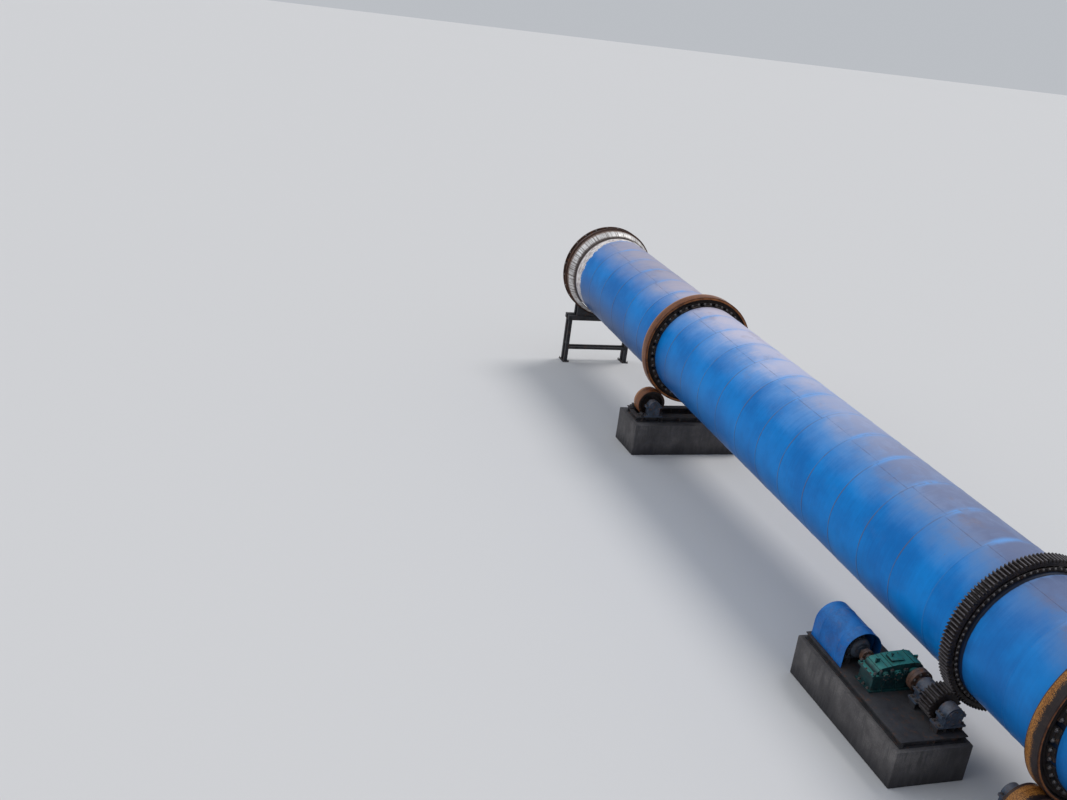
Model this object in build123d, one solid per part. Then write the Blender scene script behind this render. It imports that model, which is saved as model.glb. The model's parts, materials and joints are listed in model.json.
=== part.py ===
from build123d import *
import math
import os

os.makedirs("parts", exist_ok=True)

# Rotary drum dryer, millimetres, +Z up, +X uphill along the drum towards the feed end.
# The origin is the centre of the discharge pier's foot on the ground. Machine parts are drawn
# in a drum frame, x along the drum axis from the middle of the discharge tyre, then tilted.
slope_deg = 2.0
pier_rise = 330.0
span = 14340.0

# Shell: the overhangs are measured from the tyres to the shell's ends.
shell_r = 1200.0
shell_t = 14.0
belt_t = 28.0
belt_len = 1200.0
over_feed = 6780.0
over_dis = 3000.0

# Inside the shell: a dam ring and twelve rows of lifting flights.
dam_h = 190.0
dam_t = 16.0
dam_in = 24.0
flight_n = 12
flight_h = 190.0
flight_lip = 90.0
flight_t = 8.0
flight_gap = 60.0
flight_low = 250.0
flight_high = 620.0

# Riding rings and the pads that they sit on.
pad_seat = 52.0
pad_t = 26.0
pad_n = 24
pad_deg = 10.5
pad_over = 63.0
ear_h = 23.0
ear_w = 46.0
ear_gap = 6.0
tyre_w = 260.0
tyre_depth = 173.0
tyre_rim = 62.0
tyre_rib = 44.0
rib_in = 30.0
web_in = 60.0
tyre_edge = 6.0
tyre_cast = 14.0

# Girth gear and pinion, module teeth of 20 degrees.
gear_x = 2020.0
gear_m = 22.0
gear_rise = 164.0
pin_n = 24
press_deg = 20.0
gear_w = 220.0
pin_w = 280.0
mesh_deg = 44.0
backlash = 1.1
mesh_gap = 1.0
rim_under = 52.0
gear_web_t = 40.0
gear_web_gap = 26.0
mount_w = 260.0
mount_t = 18.0
flange_t = 30.0
flange_drop = 12.0
gusset_n = 24
gusset_t = 12.0

# Support rollers, their axles and plummer blocks.
roller_r = 360.0
roller_deg = 35.0
roller_over = 30.0
roller_rim = 70.0
roller_web = 140.0
roller_edge = 8.0
hub_t = 55.0
run_gap = 0.5
journal_r = 55.0
axle_r = 75.0
shoulder = 16.0
fit_gap = 0.08
house_gap = 35.0
house_w = 190.0
house_r = 160.0
house_foot = 500.0
end_wall = 20.0

# Steel beds under the rollers, and the concrete piers.
roller_clear = 44.0
bed_h = 140.0
bed_w = 180.0
tie_w = 110.0
tie_gap = 60.0
tie_edge = 60.0
beam_flange = 18.0
beam_web = 16.0
stop_gap = 45.0
stop_h = 90.0
pier_edge = 100.0
pier_over = 210.0

# Thrust rollers either side of the discharge tyre.
thrust_r = 150.0
thrust_h = 110.0
thrust_lap = 38.0
thrust_pin = 45.0
thrust_bore = 70.0
bracket_w = 150.0
bracket_gap = 10.0

# Feed throat, its flanged rings and the scale seals.
throat_gap = 90.0
ring_w = 91.0
ring_t = 24.0
throat_step = 30.0
throat_t = 10.0
throat_len = 250.0
feed_lap = 130.0
mouth_n = 24
mouth_edge = 26.0
mouth_hole = 13.0
seal_lap = 46.0
seal_gap = 10.0
seal_t = 8.0
seal_len = 390.0
seal_bend = ((0.0, 1.0), (0.23, 0.98), (0.51, 0.75), (0.77, 0.37), (1.0, 0.0))

# Discharge hood with a hopper mouth below and a gas outlet on top.
hood_edge = 69.0
hood_t = 8.0
hood_len = 1200.0
hood_side = 700.0
hood_lap = 100.0
hopper_h = 940.0
hopper_w = 700.0
hopper_flange = 80.0
hopper_ft = 16.0
hood_rib_h = 60.0
hood_rib_t = 12.0
rib_end = 30.0
door_w = 620.0
door_h = 760.0
door_t = 10.0
door_frame = 45.0
stack_r = 350.0
stack_h = 390.0
collar_w = 70.0
collar_t = 16.0
gas_n = 12
gas_edge = 30.0
gas_hole = 11.0

# Stands under the throat and the hood.
saddle_t = 90.0
saddle_w = 820.0
saddle_h = 290.0
saddle_seat = 40.0
cross_w = 1080.0
cross_h = 140.0
leg_y = 1000.0
leg_w = 100.0
foot_t = 20.0
rail_w = 70.0
rail_z = 420.0
hood_leg = 110.0
hood_leg_in = 90.0
hood_rail = 120.0

# Drive: pillow blocks, reducer, motor and its cover.
pb_gap = 50.0
pb_w = 200.0
pb_r = 165.0
pb_h = 190.0
pb_foot = 500.0
pb_edge = 30.0
low_hub_r = 115.0
low_disc_r = 200.0
low_hub = 96.0
low_disc = 62.0
half_gap = 4.0
red_off = 700.0
red_w = 360.0
red_h = 300.0
red_cd1 = 300.0
red_cd2 = 230.0
red_end = 225.0
red_wall = 14.0
red_lip = 34.0
red_split = 22.0
lid_out = 205.0
lid_mid = 188.0
lid_in = 142.0
hatch_h = 214.0
boss_out = 118.0
boss_mid = 92.0
boss_in = 76.0
input_r = 30.0
motor_gap = 300.0
motor_len = 660.0
motor_r = 190.0
motor_lift = 10.0
fin_n = 28
fin_h = 22.0
fin_t = 5.0
high_hub_r = 62.0
high_disc_r = 112.0
high_hub = 92.0
high_disc = 40.0
cover_front = 20.0
cover_past = 280.0
cover_r = 345.0
cover_t = 4.0
drive_bed_h = 120.0
plate_t = 12.0
plinth_edge = 80.0

# Sizes that follow from the ones above.
tyre_bore = shell_r + pad_seat
tyre_r = tyre_bore + tyre_depth
roller_w = tyre_w + 2 * roller_over
lean = math.radians(roller_deg)
roll_cd = tyre_r + roller_r + run_gap
roll_y, roll_z = roll_cd * math.sin(lean), -roll_cd * math.cos(lean)
sup = roller_r + roller_clear - roll_z
axis_h = pier_rise + sup
ring_in = shell_r + throat_gap
ring_r = ring_in + ring_w

tilt = math.radians(slope_deg)
WORLD = Pos(-sup * math.sin(tilt), 0, axis_h) * Rot(0, -slope_deg, 0)
BIG = 60000.0
SIDES = (1, -1)
STATIONS = (("feed", span), ("discharge", 0.0))


def save(name, things):
    if not isinstance(things, (list, tuple)):
        things = [things]
    solids = []
    for thing in things:
        solids += thing.solids()
    body = solids[0] if len(solids) == 1 else Compound(children=solids)
    export_step(body, f"parts/{name}.step")


def put(thing):
    return [WORLD * s for s in thing.solids()]


def puts(things):
    return [s for thing in things for s in put(thing)]


def ground_x(x, z):
    return (WORLD * Pos(x, 0, z)).position.X


def block(x0, x1, y0, y1, z0, z1):
    size = Box(abs(x1 - x0), abs(y1 - y0), abs(z1 - z0))
    return Pos((x0 + x1) / 2, (y0 + y1) / 2, (z0 + z1) / 2) * size


def rod(r, x0, x1, y=0.0, z=0.0):
    return Pos((x0 + x1) / 2, y, z) * Rot(0, 90, 0) * Cylinder(r, abs(x1 - x0))


def turned(points, y=0.0, z=0.0):
    face = make_face(Polyline(*points, close=True))
    return Pos(0, y, z) * revolve(face, Axis.X, 360)


def plate(face, x0, x1):
    return Pos(x0, 0, 0) * extrude(Plane.YZ * face, x1 - x0, dir=(1, 0, 0))


def above(level):
    return WORLD * block(-BIG, BIG, -BIG, BIG, level, level + BIG)


def joined(things):
    out = things[0]
    for thing in things[1:]:
        out = out + thing
    return out


def spots(n, turn=0.5):
    return [math.radians((i + turn) * 360 / n) for i in range(n)]


# Shell: one rolled and welded tube, thicker courses under both tyres.
x_feed = span + over_feed
x_dis = -over_dis
ri, rb = shell_r - shell_t, shell_r - belt_t
hb = belt_len / 2
save("shell", put(turned([
    (x_dis, shell_r), (x_feed, shell_r), (x_feed, ri), (span + hb, ri), (span + hb, rb),
    (span - hb, rb), (span - hb, ri), (hb, ri), (hb, rb), (-hb, rb), (-hb, ri), (x_dis, ri)])))

# Dam ring at the feed end keeps the wet material from spilling back.
dam_x = x_feed - dam_in
save("feed_dam", put(turned([
    (dam_x - dam_t, ri), (dam_x, ri), (dam_x, ri - dam_h), (dam_x - dam_t, ri - dam_h)])))


# Lifting flights, bent plates welded along the inside wall.
def flight(x0, x1, deg):
    foot = ri - flight_h
    stem = Rectangle(flight_t, 2 * flight_h).moved(Pos(0, foot + flight_h))
    lip = Rectangle(flight_lip, flight_t).moved(Pos((flight_lip - flight_t) / 2, foot + flight_t / 2))
    return Rot(deg, 0, 0) * plate((stem + lip) & Circle(ri), x0, x1)


runs = [(x_dis + flight_low, -hb - flight_gap), (hb + flight_gap, span - hb - flight_gap),
        (span + hb + flight_gap, x_feed - flight_high)]
save("flights", puts([flight(a, e, i * 360 / flight_n) for a, e in runs for i in range(flight_n)]))


# Riding rings: a heavy rim, a thinner web and an inner rib that sits on the pads.
rib_half = tyre_w / 2 - rib_in


def tyre(x):
    w, c = tyre_w / 2, tyre_edge
    rim, rib = tyre_r - tyre_rim, tyre_bore + tyre_rib
    web = w - web_in
    return turned([
        (x - w, tyre_r - c), (x - w + c, tyre_r), (x + w - c, tyre_r), (x + w, tyre_r - c),
        (x + w, rim), (x + web, rim - tyre_cast), (x + web, rib + tyre_cast), (x + rib_half, rib),
        (x + rib_half, tyre_bore), (x - rib_half, tyre_bore), (x - rib_half, rib),
        (x - web, rib + tyre_cast), (x - web, rim - tyre_cast), (x - w, rim)])


# Pads between shell and tyre, each with an ear at both ends that keeps the tyre in its place.
def pads(x):
    e0 = rib_half + ear_gap
    e1 = e0 + ear_w
    h = e1 + pad_over
    top, low = tyre_bore + ear_h, shell_r + pad_t
    face = make_face(Polyline(
        (x - h, shell_r), (x + h, shell_r), (x + h, low), (x + e1, low), (x + e1, top), (x + e0, top),
        (x + e0, tyre_bore), (x - e0, tyre_bore), (x - e0, top), (x - e1, top), (x - e1, low),
        (x - h, low), close=True))
    one = Rot(-pad_deg / 2, 0, 0) * revolve(face, Axis.X, pad_deg)
    return [Rot(i * 360 / pad_n, 0, 0) * one for i in range(pad_n)]


for station, x in STATIONS:
    save(f"tyre_{station}", put(tyre(x)))
    save(f"pads_{station}", puts(pads(x)))


# Gear flanks are involutes, drawn with a few straight steps inside the true curve.
def teeth(n, inner, turn):
    rp = gear_m * n / 2
    press = math.radians(press_deg)
    rbase = rp * math.cos(press)
    tip, root = rp + gear_m, rp - 1.25 * gear_m
    half = math.pi / (2 * n) - backlash / 2 / rp
    inv = math.tan(press) - press

    def ang(r):
        if r <= rbase:
            return half + inv
        a = math.acos(rbase / r)
        return half + inv - (math.tan(a) - a)

    steps = [max(root, rbase * 1.0001)]
    if steps[0] > root:
        steps = [root] + steps
    steps += [steps[-1] + (tip - steps[-1]) * k / 3 for k in (1, 2, 3)]
    pts = []
    for i in range(n):
        mid = math.radians(turn) + 2 * math.pi * i / n
        for r in steps:
            pts.append((r * math.cos(mid - ang(r)), r * math.sin(mid - ang(r))))
        for r in reversed(steps):
            pts.append((r * math.cos(mid + ang(r)), r * math.sin(mid + ang(r))))
    return make_face(Polyline(*pts, close=True)) - Circle(inner)


# The tooth count follows the shell, so that the gear stands clear of it.
gear_n = round(2 * (shell_r + gear_rise) / gear_m)
rg = gear_m * gear_n / 2
mesh_cd = rg + gear_m * pin_n / 2 + mesh_gap
mesh = math.radians(mesh_deg)
pin_y, pin_zz = mesh_cd * math.sin(mesh), -mesh_cd * math.cos(mesh)
face_deg = mesh_deg - 90
gear_in = rg - 1.25 * gear_m - rim_under
web_r = shell_r + gear_web_gap
gw = gear_web_t / 2
girth = plate(teeth(gear_n, gear_in, face_deg), gear_x - gear_w / 2, gear_x + gear_w / 2)
web = turned([(gear_x - gw, web_r), (gear_x + gw, web_r), (gear_x + gw, gear_in + 5),
              (gear_x - gw, gear_in + 5)])
save("girth_gear", put(girth + web))

# Ring and gussets that carry the girth gear on the shell.
flange_r = gear_in - flange_drop
mh = mount_w / 2
seat_r = shell_r + mount_t
x1 = gear_x - gw
x0 = x1 - flange_t
mount = turned([
    (gear_x - mh, shell_r), (gear_x + mh, shell_r), (gear_x + mh, seat_r), (x1, seat_r),
    (x1, flange_r), (x0, flange_r), (x0, seat_r), (gear_x - mh, seat_r)])
gus = make_face(Polyline(
    (x0 + 2, seat_r - 3), (x0 + 2, flange_r - 12), (x0 - 10, flange_r - 12), (gear_x - mh + 8, seat_r + 6),
    (gear_x - mh + 8, seat_r - 3), close=True))
gus = extrude(gus, gusset_t / 2, both=True)
save("gear_mount", put(joined([mount] + [Rot(math.degrees(a), 0, 0) * gus for a in spots(gusset_n)])))


# Support rollers and axles.
def wheel(x, side):
    h, c = roller_w / 2, roller_edge
    rim, wb, hub = roller_r - roller_rim, roller_web / 2, axle_r + hub_t
    return turned([
        (x - h, roller_r - c), (x - h + c, roller_r), (x + h - c, roller_r), (x + h, roller_r - c),
        (x + h, rim), (x + wb, rim - 20), (x + wb, hub + 20), (x + h, hub), (x + h, axle_r),
        (x - h, axle_r), (x - h, hub), (x - wb, hub + 20), (x - wb, rim - 20), (x - h, rim)],
        side * roll_y, roll_z)


house_in = roller_w / 2 + house_gap
bore_end = house_in + house_w - end_wall


def axle(x, side):
    h, e = roller_w / 2 + shoulder, bore_end - 10
    return turned([
        (x - e, 0), (x + e, 0), (x + e, journal_r), (x + h, journal_r), (x + h, axle_r),
        (x - h, axle_r), (x - h, journal_r), (x - e, journal_r)], side * roll_y, roll_z)


for station, x in STATIONS:
    for hand, side in (("left", 1), ("right", -1)):
        save(f"roller_{station}_{hand}", put(wheel(x, side)))
        save(f"axle_{station}_{hand}", put(axle(x, side)))


# Plummer blocks: a round body split on the shaft plane, on a foot, bored from its inner side.
def house(x, way, y, z, base, width, inner, r_body, depth, foot):
    a, e = x + way * inner, x + way * (inner + width)
    lo, hi = min(a, e), max(a, e)
    body = rod(r_body, a, e, y, z)
    low = block(lo, hi, y - r_body * 0.94, y + r_body * 0.94, base, z)
    sole = block(lo - 8, hi + 8, y - foot / 2, y + foot / 2, base, base + 34)
    split = block(lo + 22, hi - 22, y - r_body * 1.34, y + r_body * 1.34, z - 24, z + 24)
    cap = rod(r_body * 0.8, e, e + way * 12, y, z)
    hole = rod(journal_r + fit_gap, a - way * 5, a + way * depth, y, z)
    return joined([body, low, sole, split, cap]) - hole


bed_top = bed_h - sup
for station, x in STATIONS:
    save(f"bearings_{station}", puts([
        house(x, way, side * roll_y, roll_z, bed_top, house_w, house_in, house_r,
              bore_end - house_in, house_foot)
        for side in SIDES for way in SIDES]))


# Roller beds: two cross beams, their ties and the stops that the bearings are set against.
# The rollers dip between the ties, so the ties keep clear of the roller's width at the bed's top.
def beam_across(x, y0, y1, top, h, w):
    return joined([block(x - w / 2, x + w / 2, y0, y1, top - beam_flange, top),
                   block(x - w / 2, x + w / 2, y0, y1, top - h, top - h + beam_flange),
                   block(x - beam_web / 2, x + beam_web / 2, y0, y1, top - h, top)])


def beam_along(y, x0, x1, top, h, w):
    return joined([block(x0, x1, y - w / 2, y + w / 2, top - beam_flange, top),
                   block(x0, x1, y - w / 2, y + w / 2, top - h, top - h + beam_flange),
                   block(x0, x1, y - beam_web / 2, y + beam_web / 2, top - h, top)])


beam_x = house_in + house_w / 2
chord = math.sqrt(roller_r ** 2 - (roller_r + roller_clear - bed_h) ** 2)
tie_out = roll_y + chord + tie_gap + tie_w / 2
tie_in = roll_y - chord - tie_gap - tie_w / 2
bed_y = tie_out + tie_edge
for station, x in STATIONS:
    bed = [beam_across(x + s * beam_x, -bed_y, bed_y, bed_top, bed_h, bed_w) for s in SIDES]
    for y in (-tie_out, -tie_in, tie_in, tie_out):
        bed.append(beam_along(y, x - beam_x + 8, x + beam_x - 8, bed_top - 20, bed_h - 20, tie_w))
    for s in SIDES:
        xc = x + s * beam_x
        for side in SIDES:
            y = side * (roll_y + house_foot / 2 + stop_gap)
            bed.append(block(xc - 60, xc + 60, y - 20, y + 20, bed_top - 4, bed_top + stop_h))
            for k in (-1, 1):
                y = side * roll_y + k * house_foot * 0.36
                bed.append(block(xc - bed_w / 2 + 8, xc + bed_w / 2 - 8, y - 6, y + 6,
                                 bed_top - bed_h + 4, bed_top - 4))
    save(f"bed_{station}", puts([joined(bed)]))

# Thrust rollers stand either side of the discharge tyre and hold the drum along its slope.
th_x = tyre_w / 2 + run_gap + thrust_r
th_top = thrust_lap - (tyre_r - tyre_rim)
th_low = th_top - thrust_h
for tag, s in (("up", 1), ("down", -1)):
    body = Pos(s * th_x, 0, (th_top + th_low) / 2) * Cylinder(thrust_r, thrust_h)
    body = chamfer(body.edges().filter_by(GeomType.CIRCLE), 6)
    hole = Pos(s * th_x, 0, th_low + thrust_bore / 2 - 5) * Cylinder(thrust_pin + fit_gap, thrust_bore + 10)
    save(f"thrust_roller_{tag}", put(body - hole))
stand = []
for s in SIDES:
    x, w = s * th_x, bracket_w / 2
    foot = block(x - w - 15, x + w + 15, -2 * w, 2 * w, bed_top, bed_top + 24)
    col = block(x - w, x + w, -w, w, bed_top + 20, th_low - bracket_gap)
    rib = block(x - 12, x + 12, -2 * w + 10, 2 * w - 10, bed_top + 20, bed_top + bracket_w)
    p0, p1 = th_low - bracket_gap - 5, th_low + thrust_bore - 8
    stand.append(joined([foot, col, rib, Pos(x, 0, (p0 + p1) / 2) * Cylinder(thrust_pin, p1 - p0)]))
save("thrust_brackets", puts(stand))

# Concrete piers with tops parallel to the drum.
pier_wid = 2 * (bed_y + pier_edge)
pier_len = 2 * (beam_x + bed_w / 2 + pier_over)
for station, x in STATIONS:
    cx = ground_x(x, -sup)
    foot = block(cx - pier_len / 2, cx + pier_len / 2, -pier_wid / 2, pier_wid / 2, 0, BIG)
    save(f"pier_{station}", foot - above(-sup))

# Pinion, its shaft, the low-speed coupling and the reducer's output stub.
pinion = plate(teeth(pin_n, axle_r, face_deg + 180 + 180 / pin_n), gear_x - pin_w / 2, gear_x + pin_w / 2)
save("pinion", put(Pos(0, pin_y, pin_zz) * pinion))
pb_in = pin_w / 2 + pb_gap
pb_end = pb_in + pb_w - end_wall
red_x0 = gear_x + red_off
red_x1 = red_x0 + red_w
mid = (gear_x + pb_in + pb_w + red_x0 - red_lip) / 2
hg = half_gap / 2
sh = pin_w / 2 + 2 * end_wall
shaft = turned([
    (gear_x - pb_end + 10, 0), (mid - hg, 0), (mid - hg, journal_r), (gear_x + sh, journal_r),
    (gear_x + sh, axle_r), (gear_x - sh, axle_r), (gear_x - sh, journal_r),
    (gear_x - pb_end + 10, journal_r)], pin_y, pin_zz)
save("pinion_shafts", puts([shaft, rod(journal_r, mid + hg, red_x0 + 90, pin_y, pin_zz)]))


# Each coupling is two hubs whose discs face each other.
def coupling(x, r_bore, r_hub, r_disc, hub, disc, y):
    return [turned([(x + s * hub, r_bore), (x + s * hg, r_bore), (x + s * hg, r_disc),
                    (x + s * disc, r_disc), (x + s * disc, r_hub), (x + s * hub, r_hub)], y, pin_zz)
            for s in SIDES]


save("coupling_low", puts(coupling(mid, journal_r, low_hub_r, low_disc_r, low_hub, low_disc, pin_y)))

# Pillow blocks either side of the pinion; the downhill one has a closed end.
pb_base = pin_zz - pb_h
save("pinion_blocks", puts([
    house(gear_x, way, pin_y, pin_zz, pb_base, pb_w, pb_in, pb_r,
          pb_end - pb_in if way < 0 else pb_w + 40, pb_foot) for way in SIDES]))

# Reducer: lower case, lid and bearing caps, split on the shaft plane.
mid_y = pin_y + red_cd1
in_y = mid_y + red_cd2
ry0, ry1 = pin_y - red_end, in_y + red_end
bed_z = pin_zz - red_h
lip0, lip1 = red_x0 - red_lip, red_x1 + red_lip
shafts = ((pin_y, boss_out), (mid_y, boss_mid), (in_y, boss_in))
bores = [rod(journal_r + fit_gap, red_x0 - 60, red_x0 + 100, pin_y, pin_zz),
         rod(input_r + fit_gap, red_x1 - 100, red_x1 + 60, in_y, pin_zz)]


def bosses(keep_up):
    out = []
    for y, r in shafts:
        z0, z1 = (pin_zz, pin_zz + r) if keep_up else (pin_zz - r, pin_zz)
        for a, e in ((lip0, red_x0 + 10), (red_x1 - 10, lip1)):
            out.append(rod(r, a, e, y, pin_zz) & block(a, e, y - r, y + r, z0, z1))
    return out


low = [block(red_x0, red_x1, ry0 + 30, ry1 - 30, bed_z + 20, pin_zz),
       block(red_x0 - 30, red_x1 + 30, ry0, ry1, bed_z, bed_z + 28),
       block(lip0, lip1, ry0 - 20, ry1 + 20, pin_zz - red_split, pin_zz)] + bosses(False)
for y, r in shafts:
    for a, e in ((lip0, red_x0 + 10), (red_x1 - 10, lip1)):
        low.append(block(a, e, y - 9, y + 9, bed_z + 20, pin_zz - 30))
lower = joined(low) - block(red_x0 + red_wall, red_x1 - red_wall, ry0 + 30 + red_wall,
                            ry1 - 30 - red_wall, bed_z + 20 + red_wall, pin_zz + 10)
for hole in bores:
    lower = lower - hole
save("reducer_case", put(lower))


def lid_face(shrink):
    rounds = [Circle(lid_out - shrink).moved(Pos(pin_y, pin_zz)),
              Circle(lid_mid - shrink).moved(Pos(mid_y, pin_zz)),
              Circle(lid_in - shrink).moved(Pos(in_y + 20, pin_zz))]
    face = make_hull([e for part in rounds for e in part.edges()])
    return face & Rectangle(BIG, BIG).moved(Pos(mid_y, pin_zz + BIG / 2))


tops = [plate(lid_face(0), red_x0 + 6, red_x1 - 6),
        block(lip0, lip1, ry0 - 20, ry1 + 20, pin_zz, pin_zz + red_split)] + bosses(True)
tops.append(block(red_x0 + 90, red_x1 - 90, mid_y - 130, mid_y + 90, pin_zz + 150, pin_zz + hatch_h))
for y in (pin_y - 120, in_y + 60):
    tops.append(block(red_x0 + red_w / 2 - 14, red_x0 + red_w / 2 + 14, y - 34, y + 34,
                      pin_zz + 100, pin_zz + hatch_h))
lid = joined(tops) - plate(lid_face(red_wall), red_x0 + 6 + red_wall, red_x1 - 6 - red_wall)
for hole in bores:
    lid = lid - hole
save("reducer_lid", put(lid))
caps = []
for y, r in shafts:
    for a, way in ((lip0, -1), (lip1, 1)):
        cap = rod(r - 13, a, a + way * 16, y, pin_zz)
        if y == pin_y and way < 0:
            cap = cap - rod(journal_r + fit_gap, a - 30, a + 30, y, pin_zz)
        if y == in_y and way > 0:
            cap = cap - rod(input_r + fit_gap, a - 30, a + 30, y, pin_zz)
        caps.append(cap)
save("reducer_caps", puts(caps))

# High-speed coupling with the motor shaft and the reducer's input stub.
m0 = red_x1 + motor_gap
hs = (lip1 + m0) / 2
save("motor_shafts", puts([rod(input_r, red_x1 - 80, hs - hg, in_y, pin_zz),
                           rod(input_r, hs + hg, m0 + 90, in_y, pin_zz)]))
save("coupling_high", puts(coupling(hs, input_r, high_hub_r, high_disc_r, high_hub, high_disc, in_y)))

# Motor: end shields, a finned barrel, a fan cowl, feet and a terminal box.
m1 = m0 + motor_len
f_a, f_b = m0 + 90, m1 - 165
core = motor_r - fin_h
body = turned([
    (m0, 0), (m1, 0), (m1, motor_r - 40), (m1 - 20, motor_r - 6), (m1 - 150, motor_r - 6),
    (m1 - 150, core), (f_a - 10, core), (f_a - 20, motor_r - 12), (m0 + 50, motor_r - 12),
    (m0 + 12, motor_r - 60), (m0 + 12, 80), (m0, 80)], in_y, pin_zz)
fin = block(f_a, f_b, -fin_t / 2, fin_t / 2, core - 4, motor_r)
fins = [Pos(0, in_y, pin_zz) * Rot(math.degrees(a), 0, 0) * fin for a in spots(fin_n)]
m_base = pin_zz - motor_r - motor_lift
feet = [block(m0 + 90, m0 + 170, in_y - 200, in_y + 200, m_base, m_base + 26),
        block(m1 - 260, m1 - 180, in_y - 200, in_y + 200, m_base, m_base + 26),
        block(m0 + 100, m1 - 190, in_y - 170, in_y - 140, m_base + 10, pin_zz - 80),
        block(m0 + 100, m1 - 190, in_y + 140, in_y + 170, m_base + 10, pin_zz - 80),
        block(m0 + 150, m0 + 340, in_y - 80, in_y + 80, pin_zz + 150, pin_zz + motor_r + 70)]
save("motor", put(joined([body] + fins + feet) - rod(input_r + fit_gap, m0 - 10, m0 + 100, in_y, pin_zz)))

# A rolled sheet cover stands over the motor, open at its downhill end.
v0 = m0 - cover_front
v1 = m1 + cover_past


def arch(r, drop):
    up = Circle(r).moved(Pos(in_y, pin_zz)) & Rectangle(3 * r, r).moved(Pos(in_y, pin_zz + r / 2))
    return up + Rectangle(2 * r, drop).moved(Pos(in_y, pin_zz - drop / 2))


sheet = arch(cover_r, red_h) - arch(cover_r - cover_t, red_h + 5)
save("motor_cover", put(plate(sheet, v0, v1) + plate(arch(cover_r - 1, red_h), v1 - cover_t, v1)))

# Drive bed with stools for the pillow blocks and the motor, on a concrete plinth.
bx0, bx1 = gear_x - pb_in - pb_w - 90, v1 + 70
by0, by1 = pin_y - pb_foot / 2 - pb_edge, in_y + cover_r + 55
fr = [beam_along(y, bx0, bx1, bed_z, drive_bed_h, tie_w) for y in (by0 + 60, (by0 + by1) / 2, by1 - 60)]
for x in (bx0 + tie_w / 2, gear_x - pb_in - pb_w / 2, gear_x + pb_in + pb_w / 2, red_x0 + 40, red_x1 - 40,
          m0 + 130, m1 - 220, bx1 - tie_w / 2):
    fr.append(beam_across(x, by0 + 60, by1 - 60, bed_z, drive_bed_h, tie_w))
fr.append(block(bx0, red_x0 - 40, by0, by1 - 5, bed_z - plate_t, bed_z))
fr.append(block(red_x0 - 60, bx1, by0 + 20, by1 - 5, bed_z - plate_t, bed_z))
for way in SIDES:
    xc = gear_x + way * (pb_in + pb_w / 2)
    fr.append(block(xc - 85, xc + 85, pin_y - pb_foot / 2, pin_y + pb_foot / 2, pb_base - 20, pb_base))
    for k in (-3, -1, 1, 3):
        y = pin_y + k * 0.15 * pb_foot
        fr.append(block(xc - 80, xc + 80, y - 9, y + 9, bed_z - 6, pb_base - 10))
for way in SIDES:
    y = in_y + way * 172
    fr.append(block(m0 + 60, m1 - 150, y - 42, y + 42, bed_z - 6, m_base))
save("drive_bed", puts([joined(fr)]))
plinth_x = ground_x((bx0 + bx1) / 2, bed_z - drive_bed_h)
plinth_half = (bx1 - bx0) / 2 + plinth_edge
plinth = block(plinth_x - plinth_half, plinth_x + plinth_half, by0 - plinth_edge, by1 + plinth_edge, 0, BIG)
save("plinth_drive", plinth - above(bed_z - drive_bed_h))

# Feed throat: a short fixed duct whose flanged mouth meets the furnace, with the drum end inside.
f0 = x_feed - feed_lap
f1 = f0 + throat_len
throat_r = ring_in + throat_step
tin = throat_r - throat_t
throat = turned([
    (f0, ring_in), (f0, ring_r), (f0 + ring_t, ring_r), (f0 + ring_t, throat_r), (f1 - ring_t, throat_r),
    (f1 - ring_t, ring_r), (f1, ring_r), (f1, ring_in), (f1 - ring_t, ring_in),
    (f1 - ring_t, tin), (f0 + ring_t, tin), (f0 + ring_t, ring_in)])
mouth_r = ring_r - mouth_edge
for a in spots(mouth_n):
    y, z = mouth_r * math.cos(a), mouth_r * math.sin(a)
    throat = throat - rod(mouth_hole, f1 - ring_t - 5, f1 + 5, y, z)
save("feed_throat", put(throat))


# Scale seals reach from each fixed ring to just clear of the turning shell.
def seal(x, way):
    r0 = ring_in + seal_lap - seal_t
    r1 = shell_r + seal_gap
    bend = [(x - way * u * seal_len, r1 + (r0 - r1) * v) for u, v in seal_bend]
    return turned([(a, r + seal_t) for a, r in bend] + bend[::-1])


save("feed_seal", put(seal(f0, 1)))


# Stand legs are plumb; saddles and rails follow the drum.
def post(x, y, w, top):
    cx = ground_x(x, top)
    leg = block(cx - w / 2, cx + w / 2, y - w / 2, y + w / 2, 0, BIG) - above(top)
    return leg + block(cx - w, cx + w, y - w, y + w, 0, foot_t)


beam_z = -ring_r - saddle_seat
rails = []
rw = rail_w / 2
legs = (f0 + ring_t / 2, f1 - ring_t / 2)
for x in legs:
    saddle = block(x - saddle_t / 2, x + saddle_t / 2, -saddle_w, saddle_w, beam_z, saddle_h - ring_r)
    saddle = saddle - rod(ring_r, x - saddle_t, x + saddle_t)
    rails.append(WORLD * (saddle + block(x - 70, x + 70, -cross_w, cross_w, beam_z - cross_h, beam_z)))
    cx = ground_x(x, beam_z)
    rails.append(block(cx - rw, cx + rw, -leg_y, leg_y, rail_z, rail_z + rail_w))
    rails += [post(x, s * leg_y, leg_w, beam_z - cross_h / 2) for s in SIDES]
for s in SIDES:
    y = s * leg_y
    rails.append(WORLD * block(f0 + 20, f1 - 20, y - 50, y + 50, beam_z - cross_h + 10, beam_z - 20))
    rails.append(block(ground_x(f0, beam_z), ground_x(f1, beam_z), y - rw, y + rw,
                       rail_z + 2 * rail_w, rail_z + 3 * rail_w))
save("feed_stand", joined(rails))

# Discharge hood: a chamber round the low end, stiffened by rolled ribs, with a door in its end wall.
h1 = x_dis + hood_lap
h0 = h1 - hood_len
hx = (h0 + h1) / 2
hood_r = ring_r + hood_edge
stack_z = hood_r + stack_h
hop_z = -hood_side - hopper_h


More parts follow.
